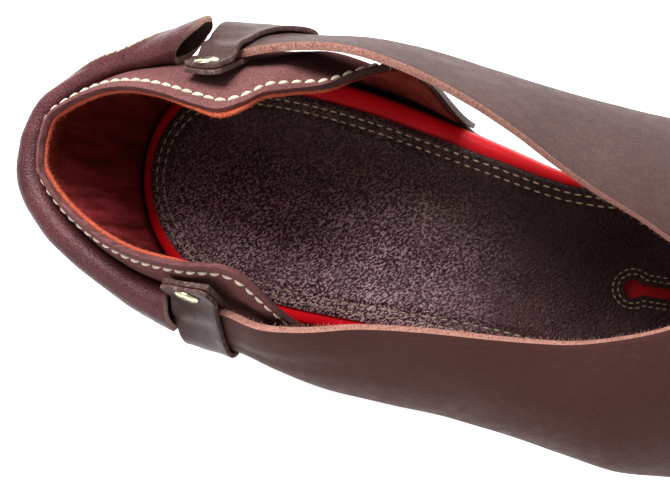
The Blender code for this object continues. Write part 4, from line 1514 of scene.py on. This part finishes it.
def keeper_relief(along, across):
    """Height of a keeper's face: a rolled border along its front edge, and a soft dent by the rivet."""
    outside = smooth_step(0.52, 0.62, along)
    border = 0.4 * bell(across, 0.97, 0.12) + 0.15 * bell(across, 0.0, 0.1)
    return outside * (border - 0.25 * bell(along, 0.84, 0.04))


def make_keepers():
    steps, across_steps = 110, 14
    leather = smooth_leather("keeper_leather", colours().keeper, 0.42).material
    flesh = flesh_side("keeper_flesh", shade(colours().vamp_raw, 0.5))
    raw = raw_leather("keeper_edge", colours().keeper_edge)

    def lift(along, across, spot):
        return keeper_relief(along, across) + 0.12 * rough(spot, 4.0, 7.0)

    for side, name in SIDE_NAMES.items():
        surface = KeeperSurface(side)
        made = grid(steps, across_steps, surface.point)
        middle = in_row(sum((surface.point(i / 10, 0.5) for i in range(11)), Vector()) / 11)
        tidy_faces(made, lambda spot, middle=middle: spot - middle)
        push_out(made, lift)
        piece = add_piece(f"keeper_{name}_strip", made, [leather, flesh, raw], [f"keeper_{name}"])
        give_wall(piece, KEEPER_WALL, 0.0, 1, 2)
        round_edges(piece, 0.25, 2)


def make_studs():
    """A rivet head on the outer face of each keeper's tab: a low dome with a rolled edge."""
    along, step = 0.95, 0.01
    finish = brass_finish()
    dome = ((0.0, 1.0), (0.45, 0.97), (0.72, 0.86), (0.88, 0.66))
    edge = ((0.97, 0.4), (1.0, 0.18), (0.98, 0.0), (0.0, 0.0))
    for side, name in SIDE_NAMES.items():
        surface = KeeperSurface(side)
        centre = surface.point(along, 0.5)
        up = surface.point(along + step, 0.5) - surface.point(along - step, 0.5)
        forward = surface.point(along, 0.6) - surface.point(along, 0.4)
        normal = (up.cross(forward) * side).normalized()
        base = centre + normal * (KEEPER_WALL / 2 + GAP * 0.3)
        made = bmesh.new()
        points = []
        for share, high in (*dome, *edge):
            points.append(made.verts.new((share * STUD_RADIUS * MM, 0, high * STUD_HEIGHT * MM)))
        edges = [made.edges.new(ends) for ends in zip(points, points[1:])]
        bmesh.ops.spin(
            made, geom=[*points, *edges], cent=(0, 0, 0), axis=(0, 0, 1),
            angle=2 * math.pi, steps=36, use_merge=True,
        )
        turn = normal.to_track_quat("Z", "Y").to_matrix().to_4x4()
        bmesh.ops.transform(made, verts=made.verts, matrix=Matrix.Translation(in_row(base)) @ turn)
        tidy_faces(made)
        add_piece(f"stud_{name}_head", made, [finish], [f"stud_{name}"])


# Stitches and fibres


def even_steps(path, pitch, closed=False):
    """Points and directions at an even pitch along a path."""
    points = [*path, path[0]] if closed else path
    lengths = [0.0]
    for start, end in zip(points, points[1:]):
        lengths.append(lengths[-1] + (end - start).length)
    count = max(round(lengths[-1] / pitch), 1)
    found = []
    for i in range(count):
        at = (i + 0.5) * lengths[-1] / count
        left = min(max(bisect.bisect_right(lengths, at) - 1, 0), len(points) - 2)
        span = points[left + 1] - points[left]
        share = (at - lengths[left]) / max(span.length, 1e-9)
        found.append((points[left].lerp(points[left + 1], share), span.normalized()))
    return found


def add_stitch(made, centre, along, normal, length, thick, lean, around, rings, plies):
    """One stitch of twisted thread: a plump grain whose ends sink into the leather."""
    across = normal.cross(along).normalized()
    turn = math.radians(lean)
    axis = along * math.cos(turn) + across * math.sin(turn)
    across = normal.cross(axis).normalized()
    ball = bmesh.ops.create_uvsphere(made, u_segments=around, v_segments=rings, radius=1.0)
    for corner in ball["verts"]:
        share = corner.co.z
        angle = math.atan2(corner.co.y, corner.co.x)
        ring = math.hypot(corner.co.x, corner.co.y) ** 0.75
        radius = thick / 2 * ring * (1 + 0.16 * math.cos(plies * angle - 5.0 * share))
        sunk = thick * 0.55 * share**4
        place = centre + axis * (share * length / 2) + across * (radius * math.cos(angle))
        corner.co = in_row(place + normal * (radius * math.sin(angle) - sunk))


def stitch_row(path, normals, pitch):
    """Stitches at an even pitch along a path, as (place, direction, normal)."""
    found = []
    for place, along in even_steps(path, pitch):
        nearest = min(range(len(path)), key=lambda i: (path[i] - place).length_squared)
        found.append((place, along, normals[nearest]))
    return found


def collar_row():
    """The collar's stitches on the counter's outside. On the inner side the row nears the edge
    towards the front corner."""
    steps, first, reach, nearing = 400, 0.008, 0.984, 1.3
    path, normals = [], []
    for i in range(steps + 1):
        turn, side = counter_share(first + reach * i / steps)
        inset = in_mm(sizes().collar_inset)
        if side == INNER:
            inset -= nearing * smooth_step(0.70, 0.82, turn)
        t = counter_depth(turn, side, inset)
        normal = counter_normal(turn, side, t)
        path.append(counter_point(turn, side, t) + normal * (COUNTER_WALL / 2 + collar_relief(inset)))
        normals.append(normal)
    return stitch_row(path, normals, in_mm(sizes().collar_pitch))


def make_collar_stitches():
    thick = in_mm(sizes().collar_thread)
    length = in_mm(sizes().collar_pitch) * 0.98
    made = bmesh.new()
    draw = random.Random(11)
    for place, along, normal in collar_row():
        lean = 9 + draw.uniform(-4, 4)
        spot = place + normal * thick * 0.22
        add_stitch(made, spot, along, normal, length * draw.uniform(0.92, 1.0), thick, lean, 12, 10, 3)
    tidy_faces(made)
    add_piece("collar_stitches", made, [collar_thread()])


def make_sock_stitches():
    thick = in_mm(sizes().sock_thread)
    outline = sock_outline()
    made = bmesh.new()
    draw = random.Random(12)
    first = in_mm(sizes().sock_first_row)
    loops = []
    for inset in (first, first + in_mm(sizes().sock_row_gap)):
        loops.append((inset_loop(outline, inset), in_mm(sizes().sock_pitch), 0.72))
    for grow in SLOT_ROWS:
        loop = [Vector((x, y, 0)) for x, y in slot_loop(grow, 40)]
        loops.append((loop, in_mm(sizes().slot_pitch), 0.74))
    for loop, pitch, share in loops:
        for place, along in even_steps(loop, pitch, closed=True):
            place.z = sock_top(place.x, place.y, outline) + thick * 0.28
            ahead = place + along * 0.5
            rise = sock_top(ahead.x, ahead.y, outline) - place.z + thick * 0.28
            along = Vector((along.x, along.y, 2 * rise))
            along.normalize()
            lean = draw.uniform(-3, 3)
            add_stitch(made, place, along, UP, pitch * share, thick, lean, 6, 6, 2)
    tidy_faces(made)
    add_piece("sock_stitches", made, [sock_thread()])


def inset_loop(outline, inset):
    """The outline drawn in by an inset, in plan, with even corners."""
    count = len(outline)
    loop = []
    for i in range(count):
        before, here, after = outline[i - 1], outline[i], outline[(i + 1) % count]
        along = Vector((after.x - before.x, after.y - before.y, 0))
        if along.length < 1e-6:
            continue
        along.normalize()
        loop.append(Vector((here.x - along.y * inset, here.y + along.x * inset, 0)))
    return loop


def make_roll_seam():
    """The stitches along the outer side of the heel roll."""
    thick = in_mm(sizes().collar_thread) * 0.85
    made = bmesh.new()
    draw = random.Random(13)
    path, normals = [], []
    steps, first, reach = 300, -0.82, 1.64
    for i in range(steps + 1):
        share = first + reach * i / steps
        turn = math.radians(roll_seam(share) + 4)
        centre = roll_ring(share)[0]
        path.append(roll_point(share, turn, -0.62))
        normals.append((path[-1] - centre).normalized())
    pitch = in_mm(sizes().collar_pitch)
    for place, along, normal in stitch_row(path, normals, pitch):
        length = pitch * draw.uniform(0.82, 0.9)
        add_stitch(made, place + normal * thick * 0.2, along, normal, length, thick, 6, 10, 8, 3)
    tidy_faces(made)
    add_piece("roll_stitches", made, [collar_thread()])


def add_fibre(made, root, way, length, thick):
    """A loose fibre that thins to a point."""
    turn = way.to_track_quat("Z", "Y").to_matrix().to_4x4()
    middle = root + way * (length / 2)
    bmesh.ops.create_cone(
        made, cap_ends=True, cap_tris=True, segments=3, radius1=thick / 2 * MM, radius2=thick / 8 * MM,
        depth=length * MM, matrix=Matrix.Translation(in_row(middle)) @ turn,
    )


def make_fibres():
    """Loose fibres on the throat's raw edges and along the lining's edge."""
    longest = in_mm(sizes().fibre_length)
    count = sizes().fibres_per_edge
    draw = random.Random(14)
    made = bmesh.new()
    for side in (INNER, OUTER):
        for _ in range(count):
            x = draw.uniform(WING_START[side] + 14, THROAT_APEX - 0.5)
            place, normal = wing_frame(side, x, 1.0)
            edge_way = (place - vamp_point(side, x, 0.97)).normalized()
            depth = draw.uniform(-0.5, 0.42)
            root = place + normal * VAMP_WALL * depth
            out = normal * (depth * 1.6 + draw.uniform(-0.5, 0.3))
            way = edge_way + out + Vector((draw.uniform(-0.7, 0.7), 0, 0))
            length = longest * draw.uniform(0.3, 1.0) ** 2
            add_fibre(made, root - edge_way * 0.1, way.normalized(), length, 0.16)
    tidy_faces(made)
    add_piece("vamp_fibres", made, [raw_leather("vamp_fibre", shade(colours().vamp_raw, 1.15))])
    made = bmesh.new()
    for _ in range(count):
        turn, side = counter_share(draw.uniform(0.05, 0.95))
        if lining_front(turn, side) > 0.5:
            continue
        places = [place for place, depth in lining_section(turn, side, 1.0) if depth < 2.4]
        root = draw.choice(places)
        normal = counter_normal(turn, side, 1.0)
        sideways = Vector((draw.uniform(-0.6, 0.6), draw.uniform(-0.6, 0.6), 0))
        way = UP * draw.uniform(0.1, 0.8) - normal * draw.uniform(0.3, 1.0) + sideways
        add_fibre(made, root, way.normalized(), longest * draw.uniform(0.25, 0.7), 0.12)
    tidy_faces(made)
    add_piece("lining_fibres", made, [raw_leather("lining_fibre", colours().lining_raw)])


# Stage

CAMERA = {"tilt": 20.0, "side": 1.0, "roll": 9.0, "away": 500.0, "target": (62.0, -11.5, 34.0)}
PIXELS_PER_MM = 3.65
PICTURE_WIDTH = 670
SENSOR = 36.0


def make_camera():
    tilt, side, roll = (math.radians(CAMERA[name]) for name in ("tilt", "side", "roll"))
    ahead = Vector((-math.sin(tilt), 0, -math.cos(tilt)))
    level = Vector((math.cos(tilt), 0, -math.sin(tilt)))
    across = Vector((0, 1, 0))
    view = ahead * math.cos(side) - across * math.sin(side)
    over = across * math.cos(side) + ahead * math.sin(side)
    right = level * math.cos(roll) + over * math.sin(roll)
    top = over * math.cos(roll) - level * math.sin(roll)
    lens = bpy.data.cameras.new("camera")
    lens.sensor_width = SENSOR
    lens.lens = PIXELS_PER_MM * CAMERA["away"] * SENSOR / PICTURE_WIDTH
    lens.clip_start = 0.01
    camera = bpy.data.objects.new("camera", lens)
    bpy.context.scene.collection.objects.link(camera)
    turn = Matrix((right, top, -view)).transposed().to_4x4()
    camera.matrix_world = Matrix.Translation(in_row(Vector(CAMERA["target"]) - view * CAMERA["away"])) @ turn
    bpy.context.scene.camera = camera


LIGHTS = (
    {"name": "key", "place": (-0.05, 0.60, 0.75), "size": 0.5, "power": 15.0},
    {"name": "fill", "place": (-0.35, -0.55, 0.7), "size": 0.6, "power": 3.5},
)
LIGHT_TARGET = (0.06, 0.0, 0.05)
FLOOR_GLOW = 0.5
SKY_GLOW = 0.42


def make_stage():
    made = bmesh.new()
    bmesh.ops.create_grid(made, x_segments=8, y_segments=8, size=2.0)
    mesh = bpy.data.meshes.new("floor")
    made.to_mesh(mesh)
    made.free()
    floor = bpy.data.objects.new("floor", mesh)
    bpy.context.scene.collection.objects.link(floor)
    paint = Finish("pale_floor", roughness=0.9, specular_ior_level=0.1)
    shift = paint.range(paint.noise(400, 2), 0.3, 0.7)
    paint.colour(paint.mix(shift, shade(colours().floor, 0.985), colours().floor))
    paint.set(emission_color=(1, 1, 1, 1), emission_strength=FLOOR_GLOW)
    mesh.materials.append(paint.material)
    for light in LIGHTS:
        lamp = bpy.data.lights.new(light["name"], "AREA")
        lamp.size = light["size"]
        lamp.energy = light["power"]
        stand = bpy.data.objects.new(light["name"], lamp)
        bpy.context.scene.collection.objects.link(stand)
        stand.location = light["place"]
        stand.rotation_mode = "QUATERNION"
        stand.rotation_quaternion = (Vector(LIGHT_TARGET) - stand.location).to_track_quat("-Z", "Y")
    sky = bpy.data.worlds.new("studio")
    sky.use_nodes = True
    sky.node_tree.nodes["Background"].inputs["Color"].default_value = (1, 1, 1, 1)
    sky.node_tree.nodes["Background"].inputs["Strength"].default_value = SKY_GLOW
    bpy.context.scene.world = sky
    bpy.context.scene.view_settings.view_transform = "Standard"


class SandalStep(bpy.types.Operator):
    """Common part of every step."""

    bl_options = {"REGISTER", "UNDO"}

    def execute(self, context):
        for make in self.makers:
            make()
        return {"FINISHED"}


class SANDAL_OT_stage(SandalStep):
    """Adds the camera, the lights and the pale floor"""

    bl_idname = "sandal.stage"
    bl_label = "Stage"
    makers = (make_camera, make_stage)


class SANDAL_OT_sole(SandalStep):
    """Adds the outsole, the red footbed and the grained sock"""

    bl_idname = "sandal.sole"
    bl_label = "Sole"
    makers = (make_outsole, make_footbed, make_sock)


class SANDAL_OT_counter(SandalStep):
    """Adds the heel counter with its lining, and the roll round its collar"""

    bl_idname = "sandal.counter"
    bl_label = "Counter and roll"
    makers = (make_counter, make_lining, make_roll)


class SANDAL_OT_vamp(SandalStep):
    """Adds the vamp with its two wings"""

    bl_idname = "sandal.vamp"
    bl_label = "Vamp"
    makers = (make_vamp,)


class SANDAL_OT_keepers(SandalStep):
    """Adds the keepers and their rivet heads"""

    bl_idname = "sandal.keepers"
    bl_label = "Keepers and studs"
    makers = (make_keepers, make_studs)


class SANDAL_OT_stitches(SandalStep):
    """Adds the stitches of collar, sock, slot and roll"""

    bl_idname = "sandal.stitches"
    bl_label = "Stitches"
    makers = (make_collar_stitches, make_sock_stitches, make_roll_seam)


class SANDAL_OT_fibres(SandalStep):
    """Adds the loose fibres of the raw edges"""

    bl_idname = "sandal.fibres"
    bl_label = "Loose fibres"
    makers = (make_fibres,)


STEPS = (
    SANDAL_OT_stage,
    SANDAL_OT_sole,
    SANDAL_OT_counter,
    SANDAL_OT_vamp,
    SANDAL_OT_keepers,
    SANDAL_OT_stitches,
    SANDAL_OT_fibres,
)


class SANDAL_PT_steps(bpy.types.Panel):
    """Lists the steps, sizes and colours"""

    bl_label = "Open-toe sandal"
    bl_idname = "SANDAL_PT_steps"
    bl_space_type = "VIEW_3D"
    bl_region_type = "UI"
    bl_category = "Sandal"

    def draw(self, context):
        for step in STEPS:
            self.layout.operator(step.bl_idname)
        for group in (context.scene.sandal_sizes, context.scene.sandal_colours):
            column = self.layout.column()
            for name in group.__annotations__:
                column.prop(group, name)


CLASSES = (SandalSizes, SandalColours, *STEPS, SANDAL_PT_steps)


def register():
    for kind in CLASSES:
        bpy.utils.register_class(kind)
    bpy.types.Scene.sandal_sizes = PointerProperty(type=SandalSizes)
    bpy.types.Scene.sandal_colours = PointerProperty(type=SandalColours)


def unregister():
    del bpy.types.Scene.sandal_colours
    del bpy.types.Scene.sandal_sizes
    for kind in reversed(CLASSES):
        bpy.utils.unregister_class(kind)


def main():
    register()
    for step in STEPS:
        group, name = step.bl_idname.split(".")
        getattr(getattr(bpy.ops, group), name)()


if __name__ == "__main__":
    main()
